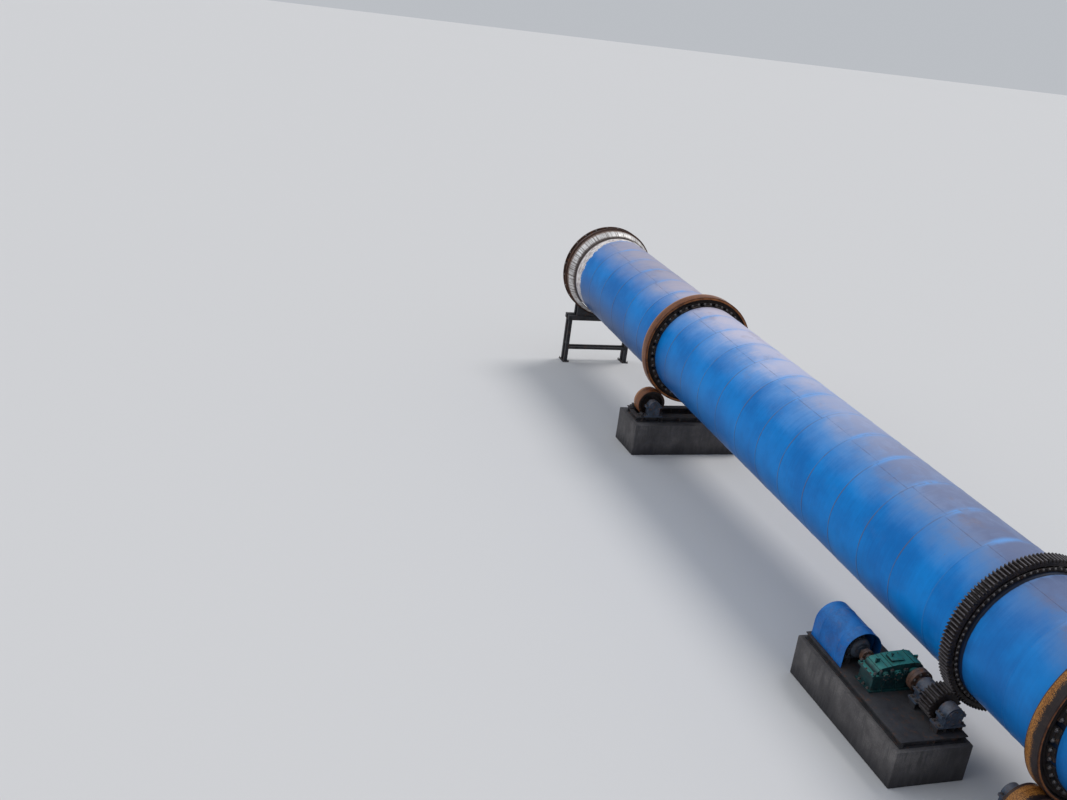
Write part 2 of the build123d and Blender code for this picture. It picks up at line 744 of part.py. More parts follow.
def hood_outline(r, drop):
    top = Circle(r) & Rectangle(4 * r, 2 * r).moved(Pos(0, r))
    return top + Rectangle(2 * r, drop).moved(Pos(0, -drop / 2))


def hood_body(s):
    up = plate(hood_outline(hood_r - s, hood_side), h0 + s, h1 - s)
    a = Plane((hx, 0, -hood_side)) * Rectangle(hood_len - 2 * s, 2 * (hood_r - s))
    e = Plane((hx, 0, hop_z)) * Rectangle(hood_len - 2 * s, hopper_w - 2 * s)
    return up + loft([a, e])


hw = hopper_w / 2
pieces = [hood_body(0), rod(ring_r, h1, h1 + ring_t),
          Pos(hx, 0, (hood_r + stack_z) / 2 - 100) * Cylinder(stack_r, stack_h + 200),
          Pos(hx, 0, stack_z - collar_t / 2) * Cylinder(stack_r + collar_w, collar_t)]
for x in (h0 + hood_len * 0.12, h1 - hood_len * 0.12):
    drop = hood_side - hood_rail - rib_end
    rib = hood_outline(hood_r + hood_rib_h, drop) - hood_outline(hood_r - 2, drop + 1)
    pieces.append(plate(rib, x - hood_rib_t / 2, x + hood_rib_t / 2))
pieces.append(block(h0 - door_t, h0 + 2, -door_w / 2, door_w / 2, -door_h / 2, door_h / 2))
frame = Rectangle(door_w, door_h) - Rectangle(door_w - 2 * door_frame, door_h - 2 * door_frame)
pieces.append(plate(frame, h0 - 2 * door_t, h0))
hood = joined(pieces) - hood_body(hood_t) - rod(ring_in, h1 - 40, h1 + ring_t + 10)
hood = hood - Pos(hx, 0, stack_z - stack_h / 2) * Cylinder(stack_r - hood_t, 2 * stack_h)
hood = hood + block(h0 - hopper_flange, h1 + hopper_flange, -hw - hopper_flange, hw + hopper_flange,
                    hop_z - hopper_ft, hop_z)
hood = hood - block(h0 + hood_t, h1 - hood_t, hood_t - hw, hw - hood_t, hop_z - 60, hop_z + 12)
gas_r = stack_r + collar_w - gas_edge
for a in spots(gas_n):
    hole = Pos(hx + gas_r * math.cos(a), gas_r * math.sin(a), stack_z) * Cylinder(gas_hole, 3 * collar_t)
    hood = hood - hole
save("discharge_hood", put(hood))
save("discharge_seal", put(seal(h1 + ring_t, -1)))

rails = []
rail_y = hood_r + hood_rail / 2
ends = (h0 + hood_leg_in, h1 - hood_leg_in)
low_rail = rail_z - 2 * rail_w
for s in SIDES:
    y = s * rail_y
    rails.append(WORLD * block(h0, h1, y - 60, y + 60, 20 - hood_side, 20 + hood_rail - hood_side))
    rails += [post(x, y, hood_leg, 60 - hood_side) for x in ends]
    rails.append(block(ground_x(ends[0], -hood_side), ground_x(ends[1], -hood_side), y - 30, y + 30,
                       low_rail + 100, low_rail + 100 + rail_w))
for x in ends:
    cx = ground_x(x, -hood_side)
    rails.append(block(cx - 30, cx + 30, -rail_y, rail_y, low_rail - 20, low_rail + rail_w - 20))
save("hood_stand", joined(rails))
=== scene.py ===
# %% [markdown]
# # A rotary drum dryer
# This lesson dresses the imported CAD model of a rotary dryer: a long sloping steel drum that
# turns on rollers while wet coal tumbles through it. The CAD gives every piece its place. Here
# the pieces that show most are made again as finer meshes, small parts such as bolts are added,
# and every surface gets a finish made of shader nodes.
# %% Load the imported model
import json
import math

import bmesh
import bpy
from mathutils import Matrix, Vector, noise


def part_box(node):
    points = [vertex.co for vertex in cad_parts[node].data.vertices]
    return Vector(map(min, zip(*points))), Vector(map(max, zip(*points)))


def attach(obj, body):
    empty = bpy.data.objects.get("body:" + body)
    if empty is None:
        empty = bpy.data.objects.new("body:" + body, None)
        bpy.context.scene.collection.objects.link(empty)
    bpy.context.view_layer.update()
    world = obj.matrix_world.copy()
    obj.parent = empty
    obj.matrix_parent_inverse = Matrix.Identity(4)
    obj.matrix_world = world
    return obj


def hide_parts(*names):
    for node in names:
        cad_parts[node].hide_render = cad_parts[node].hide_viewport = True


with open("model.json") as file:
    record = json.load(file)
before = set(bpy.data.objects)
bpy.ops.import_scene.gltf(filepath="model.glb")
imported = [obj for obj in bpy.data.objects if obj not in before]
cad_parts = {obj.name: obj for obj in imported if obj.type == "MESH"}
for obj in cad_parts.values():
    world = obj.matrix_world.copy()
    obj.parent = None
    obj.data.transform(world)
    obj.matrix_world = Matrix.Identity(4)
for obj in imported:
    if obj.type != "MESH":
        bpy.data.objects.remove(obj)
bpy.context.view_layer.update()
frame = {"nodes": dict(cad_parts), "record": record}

# %% [markdown]
# The drum lies on a slope of two degrees, so that what is inside creeps towards the low end.
# Every ring could be placed in sloping ground numbers, but that is awkward and easy to get
# wrong. A maker draws in the drum's own frame, with x along its axis from the middle of the
# lower riding ring, and one matrix then seats each finished mesh on the ground frame.
# %% The drum's own frame
TILT = math.radians(2.0)
LEAN = math.radians(35.0)
TYRE_R, TYRE_W, TYRE_BORE, RIM_DEEP = 1.425, 0.26, 1.252, 0.062
ROLLER_R, ROLLER_W, ROLLER_CLEAR = 0.36, 0.32, 0.044
SHELL_R = 1.2
APART = TYRE_R + ROLLER_R + 0.0005
ROLL_Y, ROLL_Z = APART * math.sin(LEAN), -APART * math.cos(LEAN)
SUPPORT = ROLLER_R + ROLLER_CLEAR - ROLL_Z
PIER_TOP, BED_HIGH = 0.33, 0.14
AXIS_HEIGHT = PIER_TOP + SUPPORT
SEAT = Matrix.Translation((-SUPPORT * math.sin(TILT), 0, AXIS_HEIGHT)) @ Matrix.Rotation(-TILT, 4, "Y")
SPAN = 14.34
LOW_END, HIGH_END = -3.0, SPAN + 6.78
RINGS = (("feed", SPAN), ("discharge", 0.0))
print("the axis stands", round(AXIS_HEIGHT, 3), "m up at the lower ring and",
      round((SEAT @ Vector((HIGH_END, 0, 0))).z, 3), "m up at the feed end")

# %% [markdown]
# Shader maths reads best as arithmetic, but a node tree has no operators of its own. Wiring
# each Math node by hand takes four lines for one sum. One small class wraps a socket instead:
# adding or multiplying two wrapped sockets puts down the node that does it. Everything that
# isn't arithmetic goes through one method, which sets a node's settings first and then feeds
# its sockets with numbers or links.
# %% A wire in a node tree
class Wire:
    def __init__(self, tree, socket=None):
        self.tree, self.socket = tree, socket

    def node(self, kind, settings=None, feeds=None, out=0):
        made = self.tree.nodes.new(kind)
        for key, value in (settings or {}).items():
            if key == "stops":
                ramp = made.color_ramp
                while len(ramp.elements) < len(value):
                    ramp.elements.new(0.5)
                for stop, (place, colour) in zip(ramp.elements, value):
                    stop.position, stop.color = place, (*colour, 1.0)
            else:
                setattr(made, key, value)
        for key, value in (feeds or {}).items():
            if isinstance(value, Wire):
                self.tree.links.new(value.socket, made.inputs[key])
            else:
                made.inputs[key].default_value = value
        return Wire(self.tree, made.outputs[out]) if len(made.outputs) else None

    def maths(self, what, a, b=0.0):
        return self.node("ShaderNodeMath", {"operation": what}, {0: a, 1: b})

    def __add__(self, other):
        return self.maths("ADD", self, other)

    __radd__ = __add__

    def __sub__(self, other):
        return self.maths("SUBTRACT", self, other)

    def __rsub__(self, other):
        return self.maths("SUBTRACT", other, self)

    def __mul__(self, other):
        return self.maths("MULTIPLY", self, other)

    __rmul__ = __mul__

    def __truediv__(self, other):
        return self.maths("DIVIDE", self, other)

    def __pow__(self, other):
        return self.maths("POWER", self, other)

    def most(self, other):
        return self.maths("MAXIMUM", self, other)

    def size(self):
        return self.maths("ABSOLUTE", self)

    def step(self, low, high):
        settings = {"interpolation_type": "SMOOTHSTEP"}
        return self.node("ShaderNodeMapRange", settings, {0: self, 1: low, 2: high, 3: 0.0, 4: 1.0})

    def axis(self, index):
        return self.node("ShaderNodeSeparateXYZ", None, {0: self}, index)

    def noise(self, scale, detail, rough, warp=0.0):
        feeds = {"Vector": self, "Scale": scale, "Detail": detail, "Roughness": rough,
                 "Distortion": warp}
        return self.node("ShaderNodeTexNoise", None, feeds)

    def stretch(self, x, y, z):
        return self.node("ShaderNodeVectorMath", {"operation": "MULTIPLY"}, {0: self, 1: (x, y, z)})

    def cover(self, under, over):
        feeds = {0: self, 6: under, 7: over}
        return self.node("ShaderNodeMix", {"data_type": "RGBA", "clamp_factor": True}, feeds, 2)

    def tint(self, *stops):
        return self.node("ShaderNodeValToRGB", {"stops": stops}, {0: self})


def tone(red, green, blue):
    return (red, green, blue, 1.0)


# %% [markdown]
# Each finish is one Principled shader. It could be painted into images, but then it would be
# tied to this one drum. Worked out from the place on the object it has no seams and any size.
# Every finish opens with that place and closes with the same few sockets. Many turn the place
# into the drum's frame, so that a pattern can run round the drum, and some ask how far it lies
# from an axle.
# %% How a finish opens and closes
def open_finish(name):
    made = bpy.data.materials.new(name)
    made.use_nodes = True
    made.node_tree.nodes.clear()
    return made, Wire(made.node_tree).node("ShaderNodeTexCoord", None, None, 3)


def in_drum(spot):
    turned = {"Vector": spot, "Location": SEAT.to_translation(), "Rotation": (0.0, -TILT, 0.0)}
    return spot.node("ShaderNodeMapping", {"vector_type": "TEXTURE"}, turned)


def close_finish(made, base, rough, metal=0.0, bump=None, depth=0.002, strength=0.6, gloss=0.4):
    wire = Wire(made.node_tree)
    feeds = {"Base Color": base, "Roughness": rough, "Metallic": metal, "Specular IOR Level": gloss}
    if bump is not None:
        dents = {"Strength": strength, "Distance": depth, "Height": bump}
        feeds["Normal"] = wire.node("ShaderNodeBump", None, dents)
    shader = wire.node("ShaderNodeBsdfPrincipled", None, feeds)
    wire.node("ShaderNodeOutputMaterial", None, {"Surface": shader})
    return made


def from_axle(drum, y=0.0, z=0.0):
    aside, up = drum.axis(1) - y, drum.axis(2) - z
    return (aside * aside + up * up) ** 0.5


# %% [markdown]
# The drum's blue paint has dulled in fine lines round the drum, where it was brushed and where
# dust is dragged along as it turns. Noise that is squeezed along the axis and drawn out round
# the drum gives those lines. Coal dust pales the crown, whiter towards the hot feed end, with a
# painted sky reflection under it and a painted highlight along the top, and each course of
# plates holds its own share of it. Past the long welds it lies as a brown-grey film that begins
# at the weld, and the round welds show through it as clean blue streaks, painted lighter than
# the paint as a highlight. Rust comes through in smudges, each weld keeps a thin broken line of
# dirt, and at the feed end the paint has burnt away to a white band with a ragged edge. Painted
# shade darkens the crown towards the low end, the shell where it runs under the seal skirt and
# the underside, and the lower side is darker towards the feed end. In the gaps under the riding
# rings and beside the gear the shell is black with painted shade and some soot and grease, and
# a band of painted shade lies beside them. The inside, which the hot coal scours, is bare and
# brown.
# %% Blue drum paint
SEAM_GAP, COURSES = 0.97, 24
GEAR_X, MOUNT_X = 2.02, 1.975
GOLDEN, JOINT_FROM, JOINT_SPREAD = 0.618, 0.34, 0.12
BURNT_FROM, TUCKED_FROM = HIGH_END - 0.82, HIGH_END - 0.63


def drum_paint():
    made, spot = open_finish("drum_blue_paint")
    drum = in_drum(spot)
    along, aside, up = drum.axis(0), drum.axis(1), drum.axis(2)
    level = up / SHELL_R
    lines = drum.stretch(7.0, 0.30, 0.30).noise(3.0, 6.0, 0.72)
    fine = drum.stretch(60.0, 0.8, 0.8).noise(2.0, 4.0, 0.65)
    cloud = drum.noise(1.1, 5.0, 0.6)
    patch = drum.stretch(0.7, 1.0, 1.0).noise(2.2, 8.0, 0.68, 0.4)
    speck = drum.noise(38.0, 3.0, 0.6)
    place = (along - LOW_END) / SEAM_GAP
    course = place.maths("FLOOR", place)
    within = place - course
    own = course.node("ShaderNodeTexWhiteNoise", {"noise_dimensions": "1D"}, {"W": course})
    brushed = lines * 0.24 + cloud * 0.66 + fine * 0.10 + (own - 0.5) * 0.06
    blue = brushed.step(0.34, 0.66).cover(tone(0.0, 0.150, 0.500), tone(0.0, 0.240, 0.710))
    height = level - aside / SHELL_R * 0.22 + (lines - 0.5) * 0.20 + (patch - 0.5) * 0.34
    share = within.step(0.0, 0.40) * 0.042 - within.step(0.70, 0.99) * 0.063
    lay = height + (own - 0.5) * 0.10 + share + (cloud - 0.5) * 0.26
    crown = lay.step(0.30, 1.10)
    top = lay.step(0.68, 1.10)
    far = ((along - 6.0) / HIGH_END).step(0.0, 0.62)
    # The light blue veil is a painted sky reflection, and the pale top tone is coal dust with a painted
    # highlight.
    sheen_veil = (far * 0.6 + (cloud - 0.5) * 0.7).cover(tone(0.190, 0.390, 0.740), tone(0.34, 0.40, 0.60))
    dust_and_sheen = (top * (far * 0.5 + 0.5)).cover(sheen_veil, tone(0.72, 0.62, 0.66))
    ashy = (along.step(12.5, 17.5) * (lines * 0.9 + 0.35)).cover(dust_and_sheen, tone(0.33, 0.31, 0.38))
    # Darker towards the bottom, more so towards the feed end.
    low = (0.15 - level).step(-0.35, 0.75)
    darker_low_side = (far * low * (cloud + 0.35)).cover(blue, tone(0.030, 0.062, 0.160))
    crown_dust_and_sheen = (crown * (fine * 0.36 + 0.72)).cover(darker_low_side, ashy)
    drag = (lines.step(0.56, 0.70) * fine.step(0.35, 0.7) * 0.16).cover(crown_dust_and_sheen, tone(0.02, 0.13, 0.38))
    heading = aside.maths("ARCTAN2", aside, up)
    stagger = course.maths("FRACT", course * GOLDEN) * JOINT_SPREAD
    from_joint = heading - stagger - JOINT_FROM
    above = 1.0 - (from_joint + (lines - 0.5) * 0.5 + (cloud - 0.5) * 0.9).step(-0.16, 0.20)
    near = 1.0 - along.step(1.0, 11.0)
    lying = above * (level + (patch - 0.5) * 0.5).step(0.25, 0.80)
    thick = lying * patch.step(0.30, 0.56) * (fine * 0.8 + 0.40) * (near * 0.74 + 0.10)
    film = thick.cover(drag, tone(0.205, 0.205, 0.310))
    from_seam = along.maths("PINGPONG", along - LOW_END, SEAM_GAP / 2)
    # Painted shade: the crown darkens towards the low end, and the shell past the gear a little.
    grime_and_shade = crown * near * 0.80 + (1.0 - along.step(1.5, 2.5)) * 0.10
    low_end_shaded = grime_and_shade.cover(film, tone(0.085, 0.125, 0.250))
    round_seam = 1.0 - (from_seam + (patch - 0.5) * 0.20).step(0.0, 0.12)
    wiped = round_seam * above * from_joint.step(-0.85, -0.25) * patch.step(0.36, 0.56)
    # The clean streaks are painted lighter than the paint itself: a painted highlight.
    streak = (wiped * 0.72).cover(low_end_shaded, tone(0.130, 0.400, 0.900))
    seam = 1.0 - from_seam.step(0.006, 0.018)
    broken = drum.noise(3.4, 5.0, 0.6).step(0.36, 0.56)
    shown = seam * (broken * 0.45 + 0.324) * (1.0 - crown * 0.75) * along.step(2.3, 4.0)
    marked = shown.cover(streak, tone(0.105, 0.100, 0.125))
    weld = 1.0 - (from_joint.size() * SHELL_R).step(0.004, 0.016)
    welded = (weld * broken * 0.32).cover(marked, tone(0.13, 0.105, 0.13))
    smudge = drum.stretch(0.8, 1.0, 1.0).noise(1.7, 5.0, 0.6).step(0.56, 0.72) * fine.step(0.30, 0.66)
    rusty = (smudge * (crown * 0.50 + 0.08)).cover(welded, tone(0.24, 0.185, 0.19))
    spots = speck.step(0.70, 0.74) * cloud.step(0.50, 0.64)
    pitted = (spots * 0.6).cover(rusty, tone(0.12, 0.055, 0.03))
    torn = drum.stretch(1.4, 1.8, 1.8).noise(4.5, 8.0, 0.72)
    ragged = along + (torn - 0.5) * 0.55 + aside * 0.16
    burnt = ragged.step(BURNT_FROM, BURNT_FROM + 0.02)
    flakes = drum.stretch(1.5, 1.0, 1.0).noise(9.0, 7.0, 0.72)
    ash = flakes.tint((0.36, (0.30, 0.24, 0.23)), (0.46, (0.58, 0.53, 0.52)),
                      (0.58, (0.80, 0.77, 0.76)))
    scorched = burnt.cover(pitted, ash)
    # Painted shade where the shell runs under the seal skirt.
    hidden = (along + (torn - 0.5) * 0.06).step(TUCKED_FROM, TUCKED_FROM + 0.03)
    shaded_under_seal = (hidden * 0.9).cover(scorched, tone(0.045, 0.028, 0.024))
    # Black in the gaps under the riding rings and beside the gear: painted shade, with some soot and
    # grease.
    second = along.maths("GREATER_THAN", along, SPAN / 2)
    from_ring = (along - second * SPAN).size() + (torn - 0.5) * 0.020
    soot_and_gap_shade = 1.0 - from_ring.step(0.212, 0.226)
    from_gear = along - MOUNT_X
    grease_and_gap_shade = 1.0 - (from_gear + (torn - 0.5) * 0.03).size().step(0.168, 0.186)
    black = (soot_and_gap_shade.most(grease_and_gap_shade) * 0.97).cover(shaded_under_seal, tone(0.010, 0.009, 0.010))
    # Painted shade: a dark blue band beside the rings and the gear.
    shade_band = (1.0 - from_ring.step(0.21, 0.42)).most(1.0 - from_gear.size().step(0.16, 0.42))
    band_shaded = (shade_band * patch.step(0.36, 0.66) * 0.30).cover(black, tone(0.012, 0.035, 0.10))
    # Painted shade on the underside of the drum.
    under = ((patch - 0.5) * 0.5 - level).step(-0.10, 1.0)
    shaded = (under * 0.55).cover(band_shaded, tone(0.004, 0.045, 0.165))
    inside = 1.0 - from_axle(drum).step(SHELL_R - 0.011, SHELL_R - 0.004)
    bare = (patch * 0.6 + fine * 0.4).tint(
        (0.36, (0.022, 0.016, 0.015)), (0.52, (0.075, 0.045, 0.034)), (0.66, (0.16, 0.105, 0.085)))
    lined = inside.cover(shaded, bare)
    bump = lines * 0.15 + fine * 0.15 + cloud * 0.6 + flakes * burnt * 1.5
    rough = lines * 0.10 + crown * 0.16 + burnt * 0.3 + smudge * 0.2 + fine * 0.10 + 0.27
    return close_finish(made, lined, rough + inside * 0.3, 0.0, bump, 0.003, 0.35, 0.14)


# %% [markdown]
# Riding rings and rollers are cast steel. A ring's face is worn orange where it rolls hardest
# and stays dark where oil creeps over it from the low side, while the upper ring's face is a
# duller brown. The heavy rim's side is rubbed to copper, and the web is black. How far a point
# lies from the axle tells face, rim and web apart, and its place along the drum tells the high
# side from the low side, so one recipe serves every ring and roller.
# %% Worn rolling steel
def rolling_finish(name, y, z, radius, rim, dark_from):
    made, spot = open_finish(name)
    drum = in_drum(spot)
    along, out = drum.axis(0), from_axle(drum, y, z)
    second = along.maths("GREATER_THAN", along, SPAN / 2)
    local = along - second * SPAN
    bands = drum.stretch(60.0, 0.35, 0.35).noise(2.0, 6.0, 0.7)
    grime_and_shade = drum.noise(6.0, 8.0, 0.68)
    fine = drum.noise(70.0, 4.0, 0.7)
    face = out.step(radius - 0.010, radius - 0.004)
    lip = (out - (1.0 - second) * (radius - rim) * 0.28).step(rim - 0.004, rim + 0.002)
    ragged = local + second * 0.085 + (grime_and_shade - 0.5) * 0.12 + (fine - 0.5) * 0.22
    high = ragged.step(dark_from - 0.024, dark_from + 0.024)
    gold = (bands * 0.4 + fine * 0.6).tint(
        (0.40, (0.030, 0.014, 0.009)), (0.49, (0.27, 0.102, 0.021)), (0.60, (0.54, 0.245, 0.055)))
    mottled = bands * 0.4 + grime_and_shade * 0.3 + fine * 0.3
    oily = mottled.tint((0.40, (0.009, 0.007, 0.008)), (0.53, (0.026, 0.017, 0.017)),
                        (0.68, (0.10, 0.052, 0.032)))
    edge = 1.0 - local.step(TYRE_W / 2 - 0.022, TYRE_W / 2 - 0.010) * (1.0 - second * 0.8)
    worn = (high * (edge * 0.9 + 0.1)).cover(oily, gold)
    brown = mottled.tint((0.38, (0.030, 0.014, 0.011)), (0.52, (0.170, 0.056, 0.021)),
                         (0.66, (0.34, 0.120, 0.040)))
    tan = (local.step(0.060, 0.112) * 0.75).cover(brown, tone(0.42, 0.200, 0.090))
    rolled = (second * (1.0 - high * 0.12)).cover(worn, tan)
    side = (grime_and_shade * 0.6 + fine * 0.4).tint(
        (0.38, (0.11, 0.038, 0.015)), (0.52, (0.30, 0.108, 0.034)), (0.66, (0.46, 0.185, 0.062)))
    web = (grime_and_shade * 0.7 + fine * 0.3).tint(
        (0.38, (0.007, 0.006, 0.007)), (0.56, (0.026, 0.017, 0.014)), (0.72, (0.10, 0.050, 0.028)))
    cheek = (lip * (grime_and_shade.step(0.30, 0.50) * 0.35 + 0.65)).cover(web, side)
    # Painted shade: a dark line round the side just under the face's edge, where a groove would be.
    groove_shade_line = 1.0 - (out - radius + 0.013).size().step(0.006, 0.013)
    base = (groove_shade_line * 0.7).cover(face.cover(cheek, rolled), tone(0.020, 0.012, 0.011))
    bump = bands * 0.25 + grime_and_shade * 0.6 + fine * 0.35
    rough = 0.68 - face * 0.26 - high * face * 0.06 + (fine - 0.5) * 0.2
    return close_finish(made, base, rough, face * 0.06, bump, 0.0022, 0.6, 0.26)


# %% [markdown]
# The girth gear is black with old grease, and only the tops of its teeth are wiped grey. The
# grease is thick in lumps low down between the teeth, where it is darkest and wettest. Again
# the distance from the axis tells the tooth tops from the rest.
# %% Greased gear teeth
def gear_finish(name, y, z, tip, wiped):
    made, spot = open_finish(name)
    drum = in_drum(spot)
    out = from_axle(drum, y, z)
    lump = drum.noise(26.0, 6.0, 0.62)
    wide = drum.noise(5.0, 5.0, 0.6)
    top = out.step(tip - 0.005, tip - 0.001)
    flank = out.step(tip - 0.05, tip - 0.01) * (1.0 - top)
    black = (lump * 0.6 + wide * 0.4).tint(
        (0.36, (0.008, 0.007, 0.008)), (0.56, (0.030, 0.022, 0.020)), (0.70, (0.085, 0.048, 0.032)))
    rubbed = (flank * lump.step(0.42, 0.6) * 0.35).cover(black, tone(0.10, 0.09, 0.095))
    base = (top * wide.step(0.3, 0.5) * wiped).cover(rubbed, tone(0.125, 0.117, 0.130))
    bump = lump + wide * 0.4
    return close_finish(made, base, lump * 0.3 + 0.30, top * 0.25 + 0.05, bump, 0.004, 0.6, 0.25)


# %% [markdown]
# Most other finishes follow one recipe with other colours: a ground colour and a darker shade
# of itself, a tone on whatever faces up, and patches of rust. On most parts the tone on top is
# grey dust. On the green castings, the blue cover and the bolts of the rings and the gear it is a
# lighter tone of their own colour: dust with a painted lit top. Working the recipe out once
# keeps the finishes alike, as the parts of one old machine are.
# %% The common recipe
def aged(name, light, dark, rust, dust_and_sheen, rough, metal, scale, depth=0.0015,
         rust_tone=(0.20, 0.085, 0.04), dust_and_sheen_tone=(0.20, 0.19, 0.20), gloss=0.4):
    made, spot = open_finish(name)
    blotch = spot.noise(scale, 6.0, 0.6)
    fine = spot.noise(scale * 8.0, 4.0, 0.65)
    base = (blotch * 0.7 + fine * 0.3).step(0.36, 0.62).cover(tone(*dark), tone(*light))
    facing = spot.node("ShaderNodeNewGeometry", None, None, 1).axis(2)
    # Up-facing tone: grey dust, and on some finishes a lighter tone of their own colour, a painted lit
    # top.
    lying = facing.step(0.30, 0.95) * (fine * 0.5 + blotch * 0.6 + 0.15)
    dusted_and_sheened = (lying * dust_and_sheen).cover(base, tone(*dust_and_sheen_tone))
    bloom = spot.noise(scale * 1.6, 8.0, 0.7, 0.3).step(0.54, 0.64)
    rusted = (bloom * rust).cover(dusted_and_sheened, tone(*rust_tone))
    rough = fine * 0.2 + bloom * (0.2 * rust) + rough
    return close_finish(made, rusted, rough, metal, fine * 0.5 + blotch * 0.5, depth, 0.6, gloss)


# %% [markdown]
# The seal's spring plates are bright sheet that heat and hot dust have scorched. Dark lines of
# painted shade run along them where they overlap, and their tips by the shell are brown. Noise
# that depends only on the heading round the drum gives those lines, and distance from the axis
# the brown tips.
# %% Scorched spring sheet
def seal_finish():
    made, spot = open_finish("scorched_spring_sheet")
    drum = in_drum(spot)
    out = from_axle(drum)
    cloud = drum.noise(5.0, 7.0, 0.66)
    fine = drum.noise(60.0, 3.0, 0.6)
    heading = drum.maths("ARCTAN2", drum.axis(1), drum.axis(2))
    gaps = drum.node("ShaderNodeTexNoise", {"noise_dimensions": "1D"},
                     {"W": heading * 26.0 + cloud * 0.6, "Scale": 1.0, "Detail": 3.0, "Roughness": 0.6})
    sheet = (cloud * 0.6 + fine * 0.4).tint(
        (0.36, (0.36, 0.33, 0.32)), (0.50, (0.66, 0.64, 0.63)), (0.64, (0.82, 0.81, 0.81)))
    # Painted shade: dark lines along the plates where they overlap.
    dark = gaps.step(0.50, 0.60)
    overlap_shaded = (dark * 0.68).cover(sheet, tone(0.085, 0.062, 0.055))
    tips = 1.0 - (out + (cloud - 0.5) * 0.03).step(SHELL_R + 0.032, SHELL_R + 0.056)
    tipped = (tips * 0.85).cover(overlap_shaded, tone(0.060, 0.036, 0.028))
    rim = (out + (cloud - 0.5) * 0.02).step(SHELL_R + 0.118, SHELL_R + 0.130)
    rusty = (rim * 0.8).cover(tipped, tone(0.15, 0.075, 0.045))
    bump = gaps * 1.2 + cloud * 0.5 + fine * 0.2
    return close_finish(made, rusty, 0.40 + dark * 0.25 + tips * 0.2, 0.35 - tips * 0.2, bump, 0.005)


# %% [markdown]
# Concrete stands in coal mud for years. Rain runs down its sides and leaves dark streaks, its
# foot is black with splashes, and its skin has small pores from the mould. Noise drawn out
# upwards gives the streaks, and height over the ground gives the splashes.
# %% Stained concrete
def concrete_finish():
    made, spot = open_finish("stained_concrete")
    cloud = spot.noise(1.6, 7.0, 0.62)
    streak = spot.stretch(6.0, 6.0, 0.5).noise(1.5, 6.0, 0.7)
    pores = spot.noise(42.0, 4.0, 0.7)
    ground = (cloud * 0.7 + pores * 0.3).tint(
        (0.34, (0.040, 0.037, 0.040)), (0.52, (0.088, 0.082, 0.084)), (0.68, (0.16, 0.15, 0.148)))
    facing = spot.node("ShaderNodeNewGeometry", None, None, 1).axis(2)
    side = 1.0 - facing.size().step(0.3, 0.8)
    run = side * streak.step(0.48, 0.62)
    wet = (run * 0.75).cover(ground, tone(0.045, 0.042, 0.045))
    splash = 1.0 - (spot.axis(2) + (streak - 0.5) * 0.5).step(0.02, 0.34)
    base = (splash * 0.8).cover(wet, tone(0.025, 0.024, 0.028))
    return close_finish(made, base, 0.92 - run * 0.25, 0.0, pores * 0.5 + cloud, 0.006)


